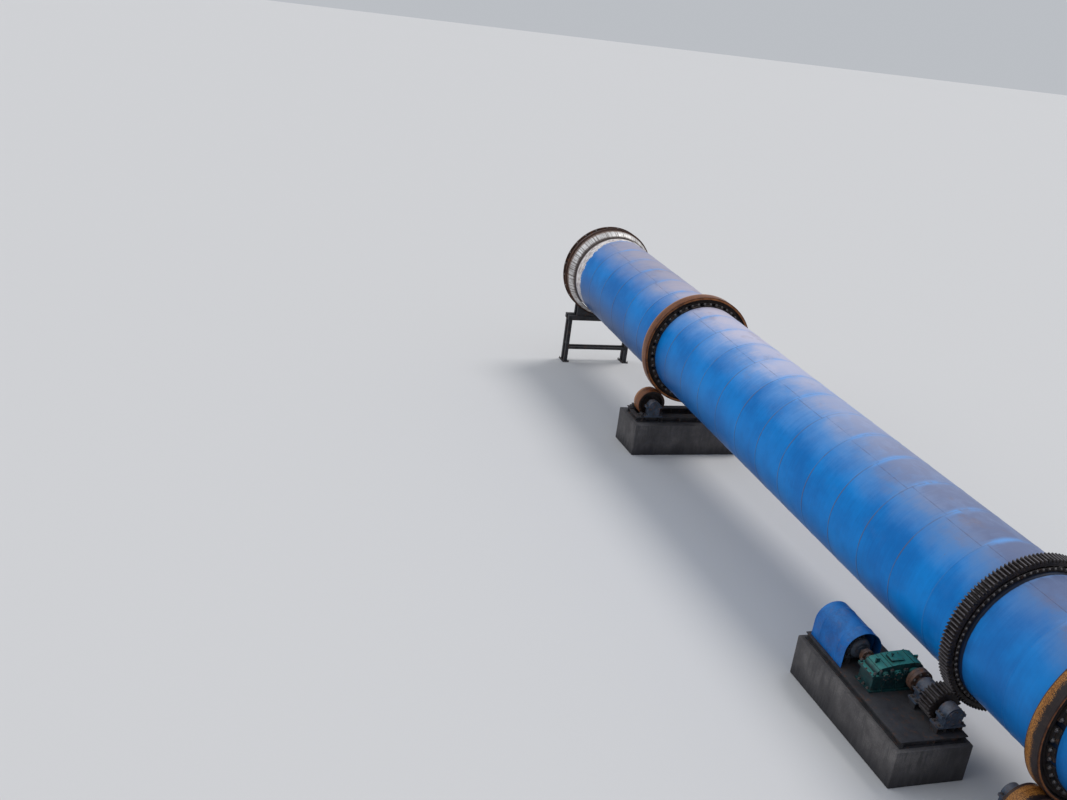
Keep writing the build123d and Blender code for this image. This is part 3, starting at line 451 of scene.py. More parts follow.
# %% [markdown]
# All finishes are made once and kept under short names. The numbers of the common recipe are,
# in turn, how much rust it carries, how much dust and painted top light it carries, how rough
# and how metallic it is, and how fine its blotches are.
# %% All finishes
WORN_RIM = ROLLER_R - 0.018
FINISH = {
    "drum": drum_paint(),
    "ring": rolling_finish("riding_ring_steel", 0.0, 0.0, TYRE_R, TYRE_R - RIM_DEEP, 0.015),
    "roller_left": rolling_finish("left_roller_steel", ROLL_Y, ROLL_Z, ROLLER_R, WORN_RIM, -0.06),
    "roller_right": rolling_finish("right_roller_steel", -ROLL_Y, ROLL_Z, ROLLER_R, WORN_RIM, -0.06),
    "concrete": concrete_finish(),
    "pads": aged("sooty_pads", (0.030, 0.024, 0.022), (0.010, 0.009, 0.010), 0.5, 0.2, 0.6, 0.2, 9.0),
    "mount": aged("gear_ring_iron", (0.032, 0.026, 0.026), (0.010, 0.009, 0.010), 0.25, 0.3,
                  0.5, 0.3, 9.0),
    "rust": aged("rusty_iron", (0.13, 0.068, 0.046), (0.052, 0.027, 0.020), 0.7, 0.35, 0.7, 0.1, 8.0),
    "throat": aged("burnt_throat_plate", (0.13, 0.07, 0.05), (0.045, 0.026, 0.022), 0.7, 0.5,
                   0.75, 0.1, 5.0),
    # On both green finishes the light teal on up-facing faces is a painted lit top, with dust.
    "green": aged("machine_green", (0.004, 0.046, 0.050), (0.001, 0.015, 0.020), 0.3, 1.0,
                  0.42, 0.0, 9.0, 0.0015, (0.11, 0.06, 0.04), (0.045, 0.270, 0.245)),
    "green_case": aged("machine_green_below", (0.004, 0.046, 0.050), (0.001, 0.015, 0.020), 0.4, 0.35,
                       0.46, 0.0, 9.0, 0.0015, (0.07, 0.045, 0.035), (0.020, 0.14, 0.135)),
    # The lighter azure on the cover's top is a painted sheen, with dust.
    "blue": aged("cover_blue", (0.0, 0.130, 0.45), (0.0, 0.080, 0.30), 0.2, 0.40, 0.34, 0.0, 3.0,
                 0.002, (0.16, 0.09, 0.07), (0.07, 0.25, 0.55), 0.3),
    "hood": aged("hood_blue", (0.0, 0.135, 0.48), (0.0, 0.085, 0.33), 0.3, 0.45, 0.40, 0.0, 1.6,
                 0.004, (0.15, 0.085, 0.06), (0.18, 0.25, 0.44), 0.2),
    "grey_blue": aged("bearing_grey_blue", (0.055, 0.078, 0.12), (0.020, 0.029, 0.046), 0.4, 0.6,
                      0.48, 0.1, 8.0),
    "motor": aged("motor_grey", (0.06, 0.08, 0.11), (0.02, 0.027, 0.038), 0.4, 0.6, 0.5, 0.1, 9.0),
    "steelwork": aged("dusty_steelwork", (0.040, 0.040, 0.045), (0.015, 0.015, 0.018), 0.5, 0.7,
                      0.6, 0.1, 5.0, 0.0015, (0.13, 0.06, 0.035), (0.060, 0.058, 0.064)),
    "shaft": aged("turned_steel", (0.26, 0.25, 0.25), (0.12, 0.11, 0.105), 0.5, 0.2, 0.38, 0.7, 12.0),
    # The pale tops of these bolts are painted glints, with dust.
    "pad_bolt": aged("rubbed_bolts", (0.15, 0.14, 0.14), (0.05, 0.042, 0.040), 0.3, 0.9, 0.5, 0.2, 30.0,
                     0.0015, (0.11, 0.055, 0.035), (0.42, 0.40, 0.40)),
    "bolt": aged("black_bolts", (0.12, 0.105, 0.10), (0.035, 0.028, 0.028), 0.5, 0.5, 0.45, 0.4, 40.0),
    "scale": seal_finish(),
}
print(len(FINISH), "finishes")

# %% [markdown]
# Nodes whose CAD shape is already right stay as they are and only take a finish. The record
# names a material slot for each node, so most finishes follow from that list, and a few nodes
# that need one of their own are named here.
# %% Dress the CAD nodes
SLOT_FINISH = {
    "blue_paint": "hood", "concrete": "concrete", "worn_cast_steel": "ring", "greased_iron": "pads",
    "shaft_steel": "shaft", "green_paint": "green", "rusty_steel": "rust",
    "grey_blue_paint": "grey_blue", "bright_sheet": "scale", "grey_steel": "steelwork"}
OWN_FINISH = {"feed_throat": "throat", "motor": "motor", "gear_mount": "mount", "flights": "throat",
              "reducer_case": "green_case"}
MODULE, GEAR_N, PIN_N, BACKLASH_GAP = 0.022, 124, 24, 0.001
MESH_AT = math.radians(44.0)
CENTRES = MODULE * (GEAR_N + PIN_N) / 2 + BACKLASH_GAP
PIN_Y, PIN_Z = CENTRES * math.sin(MESH_AT), -CENTRES * math.cos(MESH_AT)
FINISH["gear"] = gear_finish("greased_girth_gear", 0.0, 0.0, MODULE * (GEAR_N / 2 + 1), 0.85)
FINISH["pinion"] = gear_finish("greased_pinion", PIN_Y, PIN_Z, MODULE * (PIN_N / 2 + 1), 0.45)
slot_of = {p["node"]: p["material_slot"] for p in frame["record"]["subparts"]}
for node, piece in frame["nodes"].items():
    finish = OWN_FINISH.get(node, SLOT_FINISH[slot_of[node]])
    if node in ("girth_gear", "pinion"):
        finish = node.replace("girth_", "")
    if node.startswith("roller_"):
        finish = "roller_" + node.split("_")[2]
    for place in piece.material_slots:
        place.material = FINISH[finish]
print(len(slot_of), "nodes dressed")

# %% [markdown]
# Every new piece goes the same road: its mesh is drawn in the drum's frame or on the ground,
# seated by a matrix, given outward faces and smooth shading that stops at sharp edges, and put
# to ride on the body that carries it. One helper does that, so that no piece is left out.
# %% Finish a mesh as a piece
GROUND = Matrix.Identity(4)


def piece_of(name, bm, finish, body, seat=SEAT, instead=(), sharp=32.0):
    bmesh.ops.remove_doubles(bm, verts=bm.verts, dist=1e-5)
    bmesh.ops.transform(bm, matrix=seat, verts=bm.verts)
    bmesh.ops.recalc_face_normals(bm, faces=bm.faces)
    for face in bm.faces:
        face.smooth = True
    mesh = bpy.data.meshes.new(name)
    bm.to_mesh(mesh)
    bm.free()
    mesh.set_sharp_from_angle(angle=math.radians(sharp))
    mesh.materials.append(FINISH[finish])
    made = bpy.data.objects.new(name, mesh)
    bpy.context.collection.objects.link(made)
    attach(made, body)
    if instead:
        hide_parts(*instead)
    print(name, len(mesh.polygons), "faces")


# %% [markdown]
# Anything round about the drum's axis is a turned shape: a few points that outline one side of
# it, spun once round. The spin operator closes the last step onto the first when it is told to
# merge. Most are alike on both sides, so only the right half is written down. Corners that a
# lathe or a casting leaves round are then bevelled where two faces meet at an angle. Rods and
# blocks, each put down by a matrix, make most of the small parts.
# %% Turned shapes, soft corners, rods and blocks
def turn(outline, steps, y=0.0, z=0.0):
    bm = bmesh.new()
    ring = [bm.verts.new((x, 0.0, r)) for x, r in outline]
    rim = [bm.edges.new((a, b)) for a, b in zip(ring, ring[1:] + ring[:1])]
    bmesh.ops.spin(bm, geom=ring + rim, cent=(0, 0, 0), axis=(1, 0, 0), angle=2 * math.pi,
                   steps=steps, use_merge=True)
    bmesh.ops.recalc_face_normals(bm, faces=bm.faces)
    bmesh.ops.translate(bm, vec=(0, y, z), verts=bm.verts)
    return bm


SHELL_STEPS = 192


def mirrored(right, x):
    return [(x + a, r) for a, r in right] + [(x - a, r) for a, r in reversed(right)]


def soften(bm, offset, segments=2):
    bent = math.radians(30.0)
    bend = [e for e in bm.edges if len(e.link_faces) == 2 and e.calc_face_angle(0) > bent]
    bmesh.ops.bevel(bm, geom=bend, offset=offset, segments=segments, affect="EDGES",
                    profile=0.5, material=-1, clamp_overlap=True)
    return bm


def at(x, y, z):
    return Matrix.Translation((x, y, z))


def rod(bm, spot, radius, depth, sides=12, top=None):
    bmesh.ops.create_cone(bm, cap_ends=True, segments=sides, radius1=radius, radius2=top or radius,
                          depth=depth, matrix=spot)


def block(bm, spot, size):
    bmesh.ops.create_cube(bm, size=1.0, matrix=spot @ Matrix.Diagonal((*size, 1.0)))


# %% [markdown]
# The shell is rolled from plates a little under a metre wide and welded ring to ring. Each weld
# stands proud by a few millimetres, which catches the light as the thin lines across the drum.
# A smooth tube with painted lines would look flat from the side, so the outline of one side
# gets a low bead at every seam, and the whole tube is turned from it in one go.
# %% Drum shell
def shell_outline():
    outside, bead = [(LOW_END, SHELL_R)], SHELL_R + 0.0032
    for k in range(1, COURSES + 1):
        x = LOW_END + SEAM_GAP * k
        outside += [(x - 0.030, SHELL_R), (x - 0.013, SHELL_R), (x - 0.006, bead),
                    (x + 0.006, bead), (x + 0.013, SHELL_R), (x + 0.030, SHELL_R)]
    outside += [(HIGH_END, SHELL_R)]
    thin, thick, half = SHELL_R - 0.014, SHELL_R - 0.028, 0.6
    inside = [(HIGH_END, thin)]
    for x in (SPAN, 0.0):
        inside += [(x + half, thin), (x + half, thick), (x - half, thick), (x - half, thin)]
    return outside + inside + [(LOW_END, thin)]


piece_of("drum_shell", turn(shell_outline(), SHELL_STEPS), "drum", "drum",
         instead=("shell",), sharp=60.0)

# %% [markdown]
# Each course is a plate rolled until its ends meet, so it has one more weld, along the drum.
# These welds are staggered a little from course to course, as a shop does so that no two run
# on in one line. A thin rod sunk most of its depth into the shell leaves the low bead.
# %% Long welds
beads = bmesh.new()
for course in range(COURSES):
    low, high = LOW_END + SEAM_GAP * course + 0.02, LOW_END + SEAM_GAP * (course + 1) - 0.02
    angle = JOINT_FROM + JOINT_SPREAD * ((course * GOLDEN) % 1.0)
    lie = Matrix.Rotation(-angle, 4, "X") @ at((low + high) / 2, 0, SHELL_R - 0.0045)
    rod(beads, lie @ Matrix.Rotation(math.pi / 2, 4, "Y"), 0.008, high - low)
piece_of("shell_long_welds", beads, "drum", "drum")

# %% [markdown]
# Each riding ring is one casting: a heavy rim that rolls, a thinner web, and an inner rib that
# sits on the pads. Seen from its side it is a dark groove between two rounded lips. The corners
# are bevelled wide, because a worn ring has no sharp edge left.
# %% Riding rings
HALF, RIB_HALF, WEB = TYRE_W / 2, TYRE_W / 2 - 0.03, TYRE_W / 2 - 0.060
RIM, RIB = TYRE_R - RIM_DEEP, TYRE_BORE + 0.044
RING = [(HALF, TYRE_R), (HALF, RIM), (WEB, RIM - 0.014), (WEB, RIB + 0.014), (RIB_HALF, RIB),
        (RIB_HALF, TYRE_BORE)]
for end, x in RINGS:
    ring = soften(turn(mirrored(RING, x), 160), 0.008, 3)
    piece_of("riding_ring_" + end, ring, "ring", "drum", instead=("tyre_" + end,))

# %% [markdown]
# Hundreds of bolts hold the dryer together. Each is a hexagon head on a round washer. Modelling
# one and copying it as separate objects would flood the scene, so all bolts of one place go
# into one mesh: a cone with six sides for the head and one with twelve for the washer, moved to
# each place by a matrix that turns their axis along the bolt.
# %% Bolts
def stood(place, along):
    return at(*place) @ Vector(along).to_track_quat("Z", "Y").to_matrix().to_4x4()


def bolt(bm, place, along, across, height):
    spot, flat = stood(place, along), across * 0.10
    rod(bm, spot @ at(0, 0, flat / 2), across * 0.92, flat, 12, across * 0.88)
    spot = spot @ at(0, 0, flat * 0.9)
    rod(bm, spot @ at(0, 0, height / 2), across * 0.577, height, 6, across * 0.52)


def ring_of_bolts(bm, x, radius, count, along, across, height, y=0.0, z=0.0):
    for k in range(count):
        a = 2 * math.pi * (k + 0.5) / count
        place = (x, y + radius * math.cos(a), z + radius * math.sin(a))
        bolt(bm, place, along, across, height)


# %% [markdown]
# The ring floats on pads that are fixed to the shell. In the dark gap between ring and shell a
# row of bolt heads shows, two to a pad, on the ears that keep the ring from walking off. The
# same forty-eight places serve both ears of both rings, and later the gear's web.
# %% Bolts of the ring pads
EAR, EAR_BOLTS_R, PLACES = RIB_HALF + 0.052, 1.2505, 48
for end, x in RINGS:
    heads = bmesh.new()
    for way in (1, -1):
        ring_of_bolts(heads, x + way * EAR, EAR_BOLTS_R, PLACES, (way, 0, 0), 0.038, 0.018)
    piece_of("pad_bolts_" + end, heads, "pad_bolt", "drum")

# %% [markdown]
# The girth gear is cut in two halves that are bolted through its web to a ring on the shell.
# The CAD already has the true tooth form, so the gear itself is kept. What it lacks are the
# flange bolts on both faces of the web and the joint plates where the two halves meet. A
# thin clamping lip with small studs closes each side of the ring against the shell.
# %% Bolts and joints of the girth gear
WEB_BOLTS_R, STUDS, STUDS_R, LIP_IN, LIP_OUT = 1.249, 72, 1.242, 1.217, 1.264
heads = bmesh.new()
ring_of_bolts(heads, GEAR_X - 0.05, WEB_BOLTS_R, PLACES, (-1, 0, 0), 0.036, 0.020)
ring_of_bolts(heads, GEAR_X + 0.02, WEB_BOLTS_R, PLACES, (1, 0, 0), 0.036, 0.018)
for name, side in (("low", -1), ("high", 1)):
    near, deep = GEAR_X + side * 0.131, GEAR_X + side * 0.117
    lip = turn([(near, LIP_IN), (near, LIP_OUT), (deep, LIP_OUT), (deep, LIP_IN)], SHELL_STEPS)
    piece_of("gear_ring_lip_" + name, lip, "mount", "drum")
    ring_of_bolts(heads, near, STUDS_R, STUDS, (side, 0, 0), 0.029, 0.014)
for split in (97.5, 277.5):
    for k in (-1, 1):
        spot = Matrix.Rotation(math.radians(split), 4, "X") @ at(GEAR_X + k * 0.065, 1.262, 0)
        block(heads, spot, (0.07, 0.040, 0.075))
piece_of("girth_gear_bolts", heads, "pad_bolt", "drum")

# %% [markdown]
# Where the turning drum enters the fixed throat, a skirt of thin spring plates closes the gap.
# The plates overlap like fish scales, and heat has crinkled them. One plate is a small grid,
# bent to the skirt's curve and ruffled with noise, with one long edge lifted over its
# neighbour. It is then copied round with a new ruffle each time, so that no two look alike.
# %% Scale seals
THROAT_IN, SEAL_LEN, SCALES = SHELL_R + 0.09, 0.39, 46
BEND = ((0.0, 1.0), (0.23, 0.98), (0.51, 0.75), (0.77, 0.37), (1.0, 0.0))


def skirt_radius(u):
    low, high = SHELL_R + 0.0135, THROAT_IN + 0.0405
    for (a, p), (b, q) in zip(BEND, BEND[1:]):
        if u <= b:
            t = (u - a) / (b - a)
            return low + (high - low) * (p + (q - p) * t)
    return low


def seal(name, x, way, node):
    bm = bmesh.new()
    span = 2 * math.pi / SCALES * 1.32
    for k in range(SCALES):
        made = bmesh.ops.create_grid(bm, x_segments=10, y_segments=5, size=0.5)
        for v in made["verts"]:
            u, s = v.co.x + 0.5, v.co.y
            ruffle = noise.noise(Vector((u * 3.2, s * 2.6 + k * 7.3, 1.7 * k)))
            r = skirt_radius(u) + 0.007 * (s + 0.5) + 0.006 * max(ruffle, -0.35) * (0.35 + u * 0.65)
            a = 2 * math.pi * k / SCALES + s * span
            v.co = (x - way * (u * SEAL_LEN + 0.004 * ruffle), r * math.cos(a), r * math.sin(a))
    bmesh.ops.recalc_face_normals(bm, faces=bm.faces)
    bmesh.ops.solidify(bm, geom=bm.faces[:], thickness=0.0012)
    piece_of(name, bm, "scale", "root", instead=(node,), sharp=50.0)


HOOD_LAP, HOOD_LEN = 0.1, 1.2
FEED_RING = HIGH_END - 0.13
LOW_RING = LOW_END + HOOD_LAP + 0.024
seal("feed_seal_scales", FEED_RING, 1, "feed_seal")
seal("discharge_seal_scales", LOW_RING, -1, "discharge_seal")

# %% [markdown]
# A flat hoop with its bolts clamps the scales on the fixed ring. Without it the plates would
# seem to grow out of the steel. The hoop is turned from four points, and its bolts stand round
# it in the ring's face.
# %% Seal hoops
HOOP_IN, HOOP_OUT, HOOP_BOLTS_R = 1.341, 1.353, 1.366
for name, x, way in (("feed_seal_hoop", FEED_RING, -1), ("discharge_seal_hoop", LOW_RING, 1)):
    far = x + way * 0.03
    hoop = soften(turn([(x, HOOP_IN), (x, HOOP_OUT), (far, HOOP_OUT), (far, HOOP_IN)], 96), 0.003)
    ring_of_bolts(hoop, x, HOOP_BOLTS_R, SCALES, (way, 0, 0), 0.020, 0.012)
    piece_of(name, hoop, "rust", "root")

# %% [markdown]
# The support rollers are turned like the rings, with a deep recess in each face round the hub.
# They are made again here because their worn rims are rounder than a plain chamfer, and that
# roundness is what draws the bright line of light along a roller.
# %% Support rollers
FACE, DISC, HUB, AXLE = ROLLER_W / 2, 0.07, 0.13, 0.075
ROLLER = [(FACE, ROLLER_R), (FACE, ROLLER_R - 0.07), (DISC, ROLLER_R - 0.09), (DISC, HUB + 0.02),
          (FACE, HUB), (FACE, AXLE)]
for end, x in RINGS:
    for hand, side in (("left", 1), ("right", -1)):
        wheel = turn(mirrored(ROLLER, x), 96, side * ROLL_Y, ROLL_Z)
        node = "roller_" + end + "_" + hand
        piece_of("worn_" + node, soften(wheel, 0.008, 3), "roller_" + hand, node,
                 instead=(node,))

# %% [markdown]
# Every plummer block is held down by four bolts, and its cap by four more. A round plate with
# six small screws closes its end, and a grease nipple stands on its crown. They are placed from
# the block's own middle, so one function serves the eight roller bearings and the two beside
# the pinion.
# %% Bearing bolts
UP, HOLD_DOWN_Y = (0, 0, 1), 0.216


def bearing_bolts(bm, x, way, y, z, base, inner, width, body):
    mid, end = x + way * (inner + width / 2), x + way * (inner + width)
    for i in (-1, 1):
        for j in (-1, 1):
            foot = (mid + i * width * 0.30, y + j * HOLD_DOWN_Y, base + 0.034)
            cap = (mid + i * width * 0.20, y + j * body * 1.18, z + 0.024)
            bolt(bm, foot, UP, 0.036, 0.026)
            bolt(bm, cap, UP, 0.030, 0.022)
    ring_of_bolts(bm, end + way * 0.012, body * 0.66, 6, (way, 0, 0), 0.018, 0.010, y, z)
    rod(bm, at(mid, y, z + body + 0.010), 0.009, 0.03, 10, 0.005)


BED_TOP = BED_HIGH - SUPPORT
for end, x in RINGS:
    heads = bmesh.new()
    for side in (1, -1):
        for way in (1, -1):
            bearing_bolts(heads, x, way, side * ROLL_Y, ROLL_Z, BED_TOP, 0.195, 0.19, 0.16)
    piece_of("bearing_bolts_" + end, heads, "bolt", "root")
PILLOW_IN, PILLOW_W = 0.19, 0.20
heads = bmesh.new()
for way in (1, -1):
    bearing_bolts(heads, GEAR_X, way, PIN_Y, PIN_Z, PIN_Z - 0.19, PILLOW_IN, PILLOW_W, 0.165)
piece_of("pinion_block_bolts", heads, "bolt", "root")

# %% [markdown]
# A roller must be set square to the drum, so long screws in the stops push its bearings along
# the bed. Foundation bolts come up out of the concrete through the beams' lower flanges. Both
# are rods with nuts, made of the same bolt.
# %% Adjusting screws and foundation bolts
def rod_and_nut(bm, place, along, reach, radius, across):
    rod(bm, stood(place, along) @ at(0, 0, reach / 2), radius, reach)
    bolt(bm, place, along, across, across * 0.8)


STOP_Y, FLANGE = ROLL_Y + 0.295, BED_TOP - 0.122
for end, x in RINGS:
    screws = bmesh.new()
    for way in (1, -1):
        beam = x + way * 0.29
        for side in (1, -1):
            for face, reach in ((side, 0.075), (-side, 0.022)):
                place = (beam, side * STOP_Y + face * 0.02, BED_TOP + 0.055)
                rod_and_nut(screws, place, (0, face, 0), reach, 0.012, 0.036)
        for y in (-1.30, -0.75, -0.25, 0.25, 0.75, 1.30):
            for k in (1, -1):
                rod_and_nut(screws, (beam + k * 0.062, y, FLANGE), UP, 0.075, 0.011, 0.034)
    piece_of("bed_screws_" + end, screws, "bolt", "root")

# %% [markdown]
# The piers are cast concrete with tops that follow the drum's slope. A cube is stretched to
# the node's box, the corners of its top are moved onto the sloping plane, and the edges are
# bevelled, because a mould's edge never leaves concrete sharp.
# %% Piers and plinth
def pier(node, drop):
    low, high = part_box(node)
    bm = bmesh.new()
    size, middle = high - low, (high + low) / 2
    block(bm, at(*middle), size)
    top = SEAT @ Vector((0, 0, -drop))
    for v in bm.verts:
        if v.co.z > middle.z:
            v.co.z = top.z + (v.co.x - top.x) * math.tan(TILT)
    soften(bm, 0.018)
    piece_of("cast_" + node, bm, "concrete", "root", seat=GROUND, instead=(node,))


SHAFT_HIGH, DRIVE_BED_HIGH = 0.30, 0.12
BED_Z = PIN_Z - SHAFT_HIGH
pier("pier_feed", SUPPORT)
pier("pier_discharge", SUPPORT)
pier("plinth_drive", DRIVE_BED_HIGH - BED_Z)

# %% [markdown]
# The motor stands under a rolled sheet cover that keeps coal dust and rain off. Its mouth is
# open downhill, towards the coupling. The sheet is an arch: a point is raised, spun half round
# and lowered again, and that line is drawn out along the drum, with a rolled edge at the mouth
# and two pressed beads. A last step gives the sheet its thickness.
# %% Motor cover
RED_A, RED_B = GEAR_X + 0.70, GEAR_X + 1.06
RED_MID = RED_A + 0.18
MID_Y, IN_Y = PIN_Y + 0.30, PIN_Y + 0.53
MOTOR_A = RED_B + 0.30
COVER_A, COVER_R, SHEET = MOTOR_A - 0.02, 0.345, 0.003


def arch_line(bm, x, radius, drop):
    low = bm.verts.new((x, -radius, -drop))
    high = bm.verts.new((x, -radius, 0.0))
    bm.edges.new((low, high))
    spun = bmesh.ops.spin(bm, geom=[high], cent=(x, 0, 0), axis=(1, 0, 0), angle=-math.pi, steps=28)
    last = [v for v in spun["geom_last"] if isinstance(v, bmesh.types.BMVert)]
    fall = bmesh.ops.extrude_vert_indiv(bm, verts=last)
    bmesh.ops.translate(bm, vec=(0, 0, -drop), verts=fall["verts"])
    return bm.edges[:]


def cover():
    bm = bmesh.new()
    line = arch_line(bm, COVER_A, COVER_R - SHEET, SHAFT_HIGH)
    stops = [0.004, 0.02, 0.20, 0.21, 0.22, 0.23, 0.72, 0.73, 0.74, 0.75, 0.955, 0.96]
    swell = {0.004: 0.003, 0.21: 0.006, 0.22: 0.006, 0.73: 0.006, 0.74: 0.006}
    for stop in stops:
        grown = bmesh.ops.extrude_edge_only(bm, edges=line)["geom"]
        line = [e for e in grown if isinstance(e, bmesh.types.BMEdge)]
        ends = [v for v in grown if isinstance(v, bmesh.types.BMVert)]
        radius = COVER_R - SHEET + swell.get(stop, 0.0)
        for v in ends:
            if v.co.z >= 0.0:
                away = Vector((0, v.co.y, v.co.z)).normalized() * radius
                v.co = (COVER_A + stop, away.y, away.z)
            else:
                v.co = (COVER_A + stop, math.copysign(radius, v.co.y), v.co.z)
    feet = sorted((v for v in ends if v.co.z < -0.2), key=lambda v: v.co.y)
    bmesh.ops.edgeloop_fill(bm, edges=line + [bm.edges.new((feet[0], feet[-1]))])
    bmesh.ops.recalc_face_normals(bm, faces=bm.faces)
    bmesh.ops.solidify(bm, geom=bm.faces[:], thickness=SHEET)
    bmesh.ops.translate(bm, vec=(0, IN_Y, PIN_Z), verts=bm.verts)
    return bm


piece_of("rolled_motor_cover", cover(), "blue", "root",
         instead=("motor_cover",), sharp=40.0)

# %% [markdown]
# The reducer is two castings bolted together on the plane of its shafts. Beside each bearing
# the lid grows into round bosses for the long bolts, short ones at the outer corners and tall
# ones that a block of iron ties to the lid. Thin ribs run up its ends and over its back between
# them. They are what makes its edge look like battlements. Rods that taper upwards make the
# bosses, and each rib is a stretched cube with softened edges.
# %% Reducer bosses and ribs
FLANGE_TOP, SHORT, TALL = PIN_Z + 0.020, 0.035, 0.080
BOSSES = ((PIN_Y - 0.205, SHORT), (PIN_Y - 0.142, TALL), (PIN_Y + 0.142, TALL),
          (MID_Y - 0.112, TALL), (MID_Y + 0.112, TALL), (IN_Y - 0.098, TALL),
          (IN_Y + 0.100, TALL), (IN_Y + 0.205, SHORT))
castings = bmesh.new()
for x, way in ((RED_A - 0.010, -1), (RED_B + 0.010, 1)):
    for y, tall in BOSSES:
        rod(castings, at(x, y, FLANGE_TOP + tall / 2), 0.029, tall, 18, 0.025)
        if tall == TALL:
            block(castings, at(x - way * 0.018, y, PIN_Z + 0.055), (0.036, 0.044, 0.076))
for y, top in ((PIN_Y, 0.211), (MID_Y, 0.194)):
    for x in (RED_A + 0.004, RED_B - 0.004):
        block(castings, at(x, y, PIN_Z + 0.075 + top / 2), (0.022, 0.014, top - 0.15))
for y, top in ((PIN_Y - 0.10, 0.186), (PIN_Y + 0.03, 0.211), (MID_Y + 0.13, 0.176),
               (IN_Y - 0.02, 0.156), (IN_Y + 0.11, 0.112)):
    block(castings, at(RED_MID, y, PIN_Z + top - 0.012), (0.345, 0.012, 0.034))
soften(castings, 0.003)
piece_of("reducer_bosses", castings, "green", "root")

# %% [markdown]
# Bolts stand on the bosses, along the joint and at the feet, and each bearing cap has its own
# ring of screws, apart from the one that the fast coupling hides. On top are a hatch with its
# screws and a breather.
# %% Reducer bolts and fittings
HATCH_Y = MID_Y - 0.02
heads = bmesh.new()
for x in (RED_A - 0.010, RED_B + 0.010):
    for y, tall in BOSSES:
        bolt(heads, (x, y, FLANGE_TOP + tall), UP, 0.026, 0.020)
for y, inward in ((PIN_Y - 0.232, 0.024), (IN_Y + 0.232, -0.024)):
    for x in (RED_MID - 0.12, RED_MID, RED_MID + 0.12):
        bolt(heads, (x, y, PIN_Z + 0.022), UP, 0.022, 0.018)
        bolt(heads, (x, y + inward, BED_Z + 0.028), UP, 0.034, 0.026)
for y, radius, ways in ((PIN_Y, 0.105, (-1, 1)), (MID_Y, 0.079, (-1, 1)), (IN_Y, 0.063, (-1,))):
    for way in ways:
        x = RED_MID + way * 0.23
        ring_of_bolts(heads, x, radius * 0.83, 6, (way, 0, 0), 0.016, 0.010, y, PIN_Z)
for i in (-1, 1):
    for j in (-1, 0, 1):
        place = (RED_MID + i * 0.075, HATCH_Y + j * 0.095, PIN_Z + 0.220)
        bolt(heads, place, UP, 0.015, 0.010)
piece_of("reducer_bolts", heads, "bolt", "root")

fittings = bmesh.new()
block(fittings, at(RED_MID, HATCH_Y, PIN_Z + 0.217), (0.20, 0.24, 0.010))
soften(fittings, 0.004)
for depth, radius, lift in ((0.05, 0.010, 0.243), (0.035, 0.024, 0.278)):
    rod(fittings, at(RED_MID, MID_Y + 0.04, PIN_Z + lift), radius, depth, 20, radius * 0.92)
piece_of("reducer_hatch", fittings, "green", "root")

# %% [markdown]
# Each coupling is two discs held together by bolts in rubber sleeves. The bolts of the slow
# one are thick enough to show from far away. They ride on the body that turns with them.
# %% Coupling bolts
STUB = 0.034
LOW_MID = (GEAR_X + PILLOW_IN + PILLOW_W + RED_A - STUB) / 2
HIGH_MID = (RED_B + STUB + MOTOR_A) / 2
for name, x, y, ring, reach, across, body in (
        ("slow_coupling_bolts", LOW_MID, PIN_Y, 0.162, 0.062, 0.036, "pinion_train"),
        ("fast_coupling_bolts", HIGH_MID, IN_Y, 0.088, 0.040, 0.018, "motor_train")):
    heads = bmesh.new()
    for way in (1, -1):
        ring_of_bolts(heads, x + way * reach, ring, 8, (way, 0, 0), across, across * 0.6, y, PIN_Z)
    piece_of(name, heads, "bolt", body)

# %% [markdown]
# The low end runs into a hood with a hopper mouth. Its door hangs on two hinges and is held
# shut by three nuts on its other edge. Only these small parts are added here, since the CAD has
# the hood's own form.
# %% Hood fittings
HOOD_A = LOW_END + HOOD_LAP - HOOD_LEN
fittings = bmesh.new()
for z in (-0.25, 0.25):
    hinge = at(HOOD_A - 0.028, -0.31, z)
    rod(fittings, hinge, 0.016, 0.13, 14)
    block(fittings, hinge @ at(0.003, 0.10, 0), (0.010, 0.20, 0.045))
for z in (-0.30, 0.0, 0.30):
    rod_and_nut(fittings, (HOOD_A - 0.02, 0.287, z), (-1, 0, 0), 0.045, 0.008, 0.028)
piece_of("hood_door_fittings", fittings, "bolt", "root")

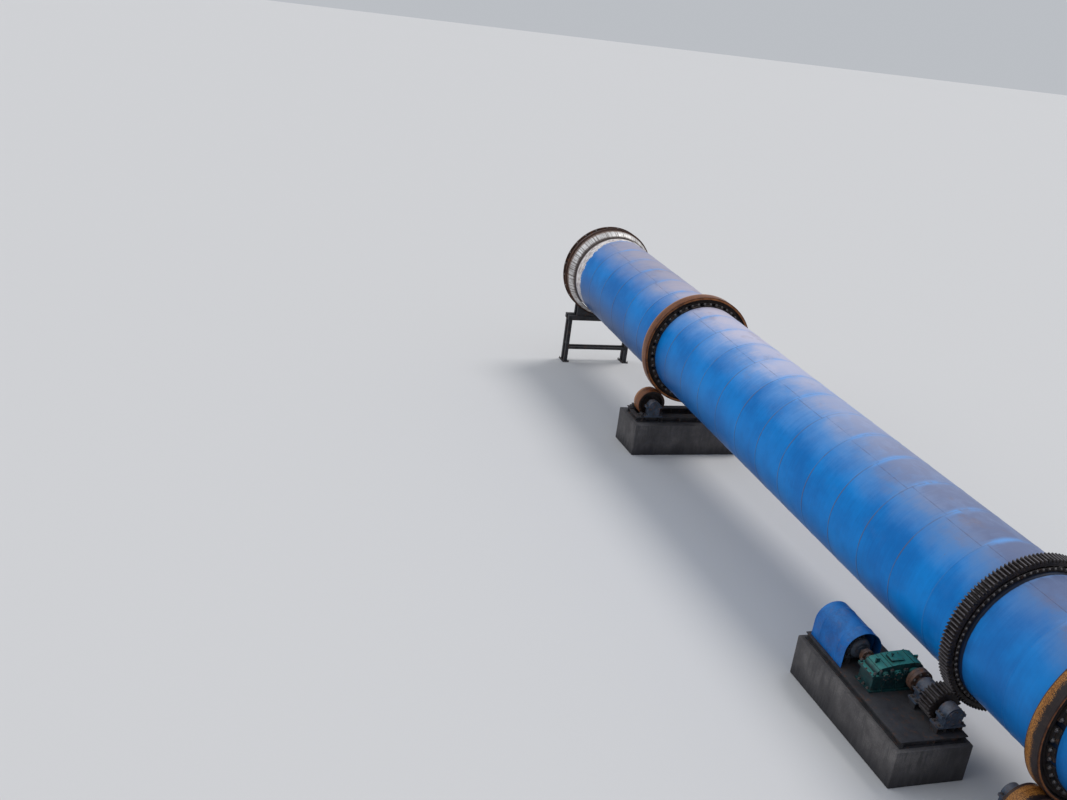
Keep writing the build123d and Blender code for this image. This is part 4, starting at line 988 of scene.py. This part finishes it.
# %% [markdown]
# Legs of both stands end in foot plates, each held by four anchor bolts. The legs stand upright
# on the ground and carry their load at a known height in the drum's frame, so that height and
# the slope tell where each foot is.
# %% Anchor bolts of the stands
FEED_LEGS = ((FEED_RING + 0.012, FEED_RING + 0.238), -1.491, 1.0, 0.082)
HOOD_LEGS = ((HOOD_A + 0.09, HOOD_A + HOOD_LEN - 0.09), -0.64, 1.51, 0.080)
anchors = bmesh.new()
for legs, top, y, reach in (FEED_LEGS, HOOD_LEGS):
    for x in legs:
        foot = SEAT @ Vector((x, 0, top))
        for side in (1, -1):
            for i in (-1, 1):
                for j in (-1, 1):
                    place = (foot.x + i * reach, side * y + j * reach, 0.020)
                    rod_and_nut(anchors, place, UP, 0.05, 0.009, 0.028)
piece_of("stand_anchor_bolts", anchors, "bolt", "root", seat=GROUND)

# %% [markdown]
# The floor is a plain pale sheet and the light is soft, so that the finishes show as they are.
# Sun lamps with a wide angle act like large soft boxes and light a machine of this length
# evenly from end to end, which a box-shaped lamp close by couldn't.
# %% Floor and light
def floor():
    bm = bmesh.new()
    bmesh.ops.create_grid(bm, x_segments=1, y_segments=1, size=400.0)
    mesh = bpy.data.meshes.new("pale_floor")
    bm.to_mesh(mesh)
    bm.free()
    made = open_finish("pale_floor")[0]
    mesh.materials.append(close_finish(made, tone(0.60, 0.60, 0.61), 0.9))
    sheet = bpy.data.objects.new("pale_floor", mesh)
    bpy.context.collection.objects.link(sheet)


def soft_sun(name, heading, height, strength, spread, tint):
    data = bpy.data.lights.new(name, "SUN")
    data.energy, data.angle, data.color = strength, math.radians(spread), tint
    made = bpy.data.objects.new(name, data)
    made.rotation_euler = (math.radians(90.0 - height), 0.0, math.radians(heading))
    bpy.context.collection.objects.link(made)


floor()
soft_sun("key_box", 20.0, 58.0, 1.5, 25.0, (1.0, 0.97, 0.93))
soft_sun("fill_box", 160.0, 40.0, 0.7, 60.0, (0.93, 0.97, 1.0))
world = bpy.data.worlds.new("studio")
bpy.context.scene.world = world
world.use_nodes = True
world.node_tree.nodes["Background"].inputs["Color"].default_value = tone(0.90, 0.94, 1.0)
world.node_tree.nodes["Background"].inputs["Strength"].default_value = 0.55
bpy.context.scene.view_settings.view_transform = "Standard"

# %% [markdown]
# The camera stands where the photograph was taken: above the low end on the drive side, looking
# up along the slope. Its place and angles were worked out from the rings and the shell's edges.
# %% Camera
lens = bpy.data.cameras.new("eye")
lens.sensor_width, lens.lens, lens.clip_end = 36.0, 36.34, 500.0
eye = bpy.data.objects.new("eye", lens)
eye.location = (-9.3666, 12.1982, 10.4203)
eye.rotation_euler = [math.radians(a) for a in (69.7228, -6.841, -106.2775)]
bpy.context.collection.objects.link(eye)
bpy.context.scene.camera = eye
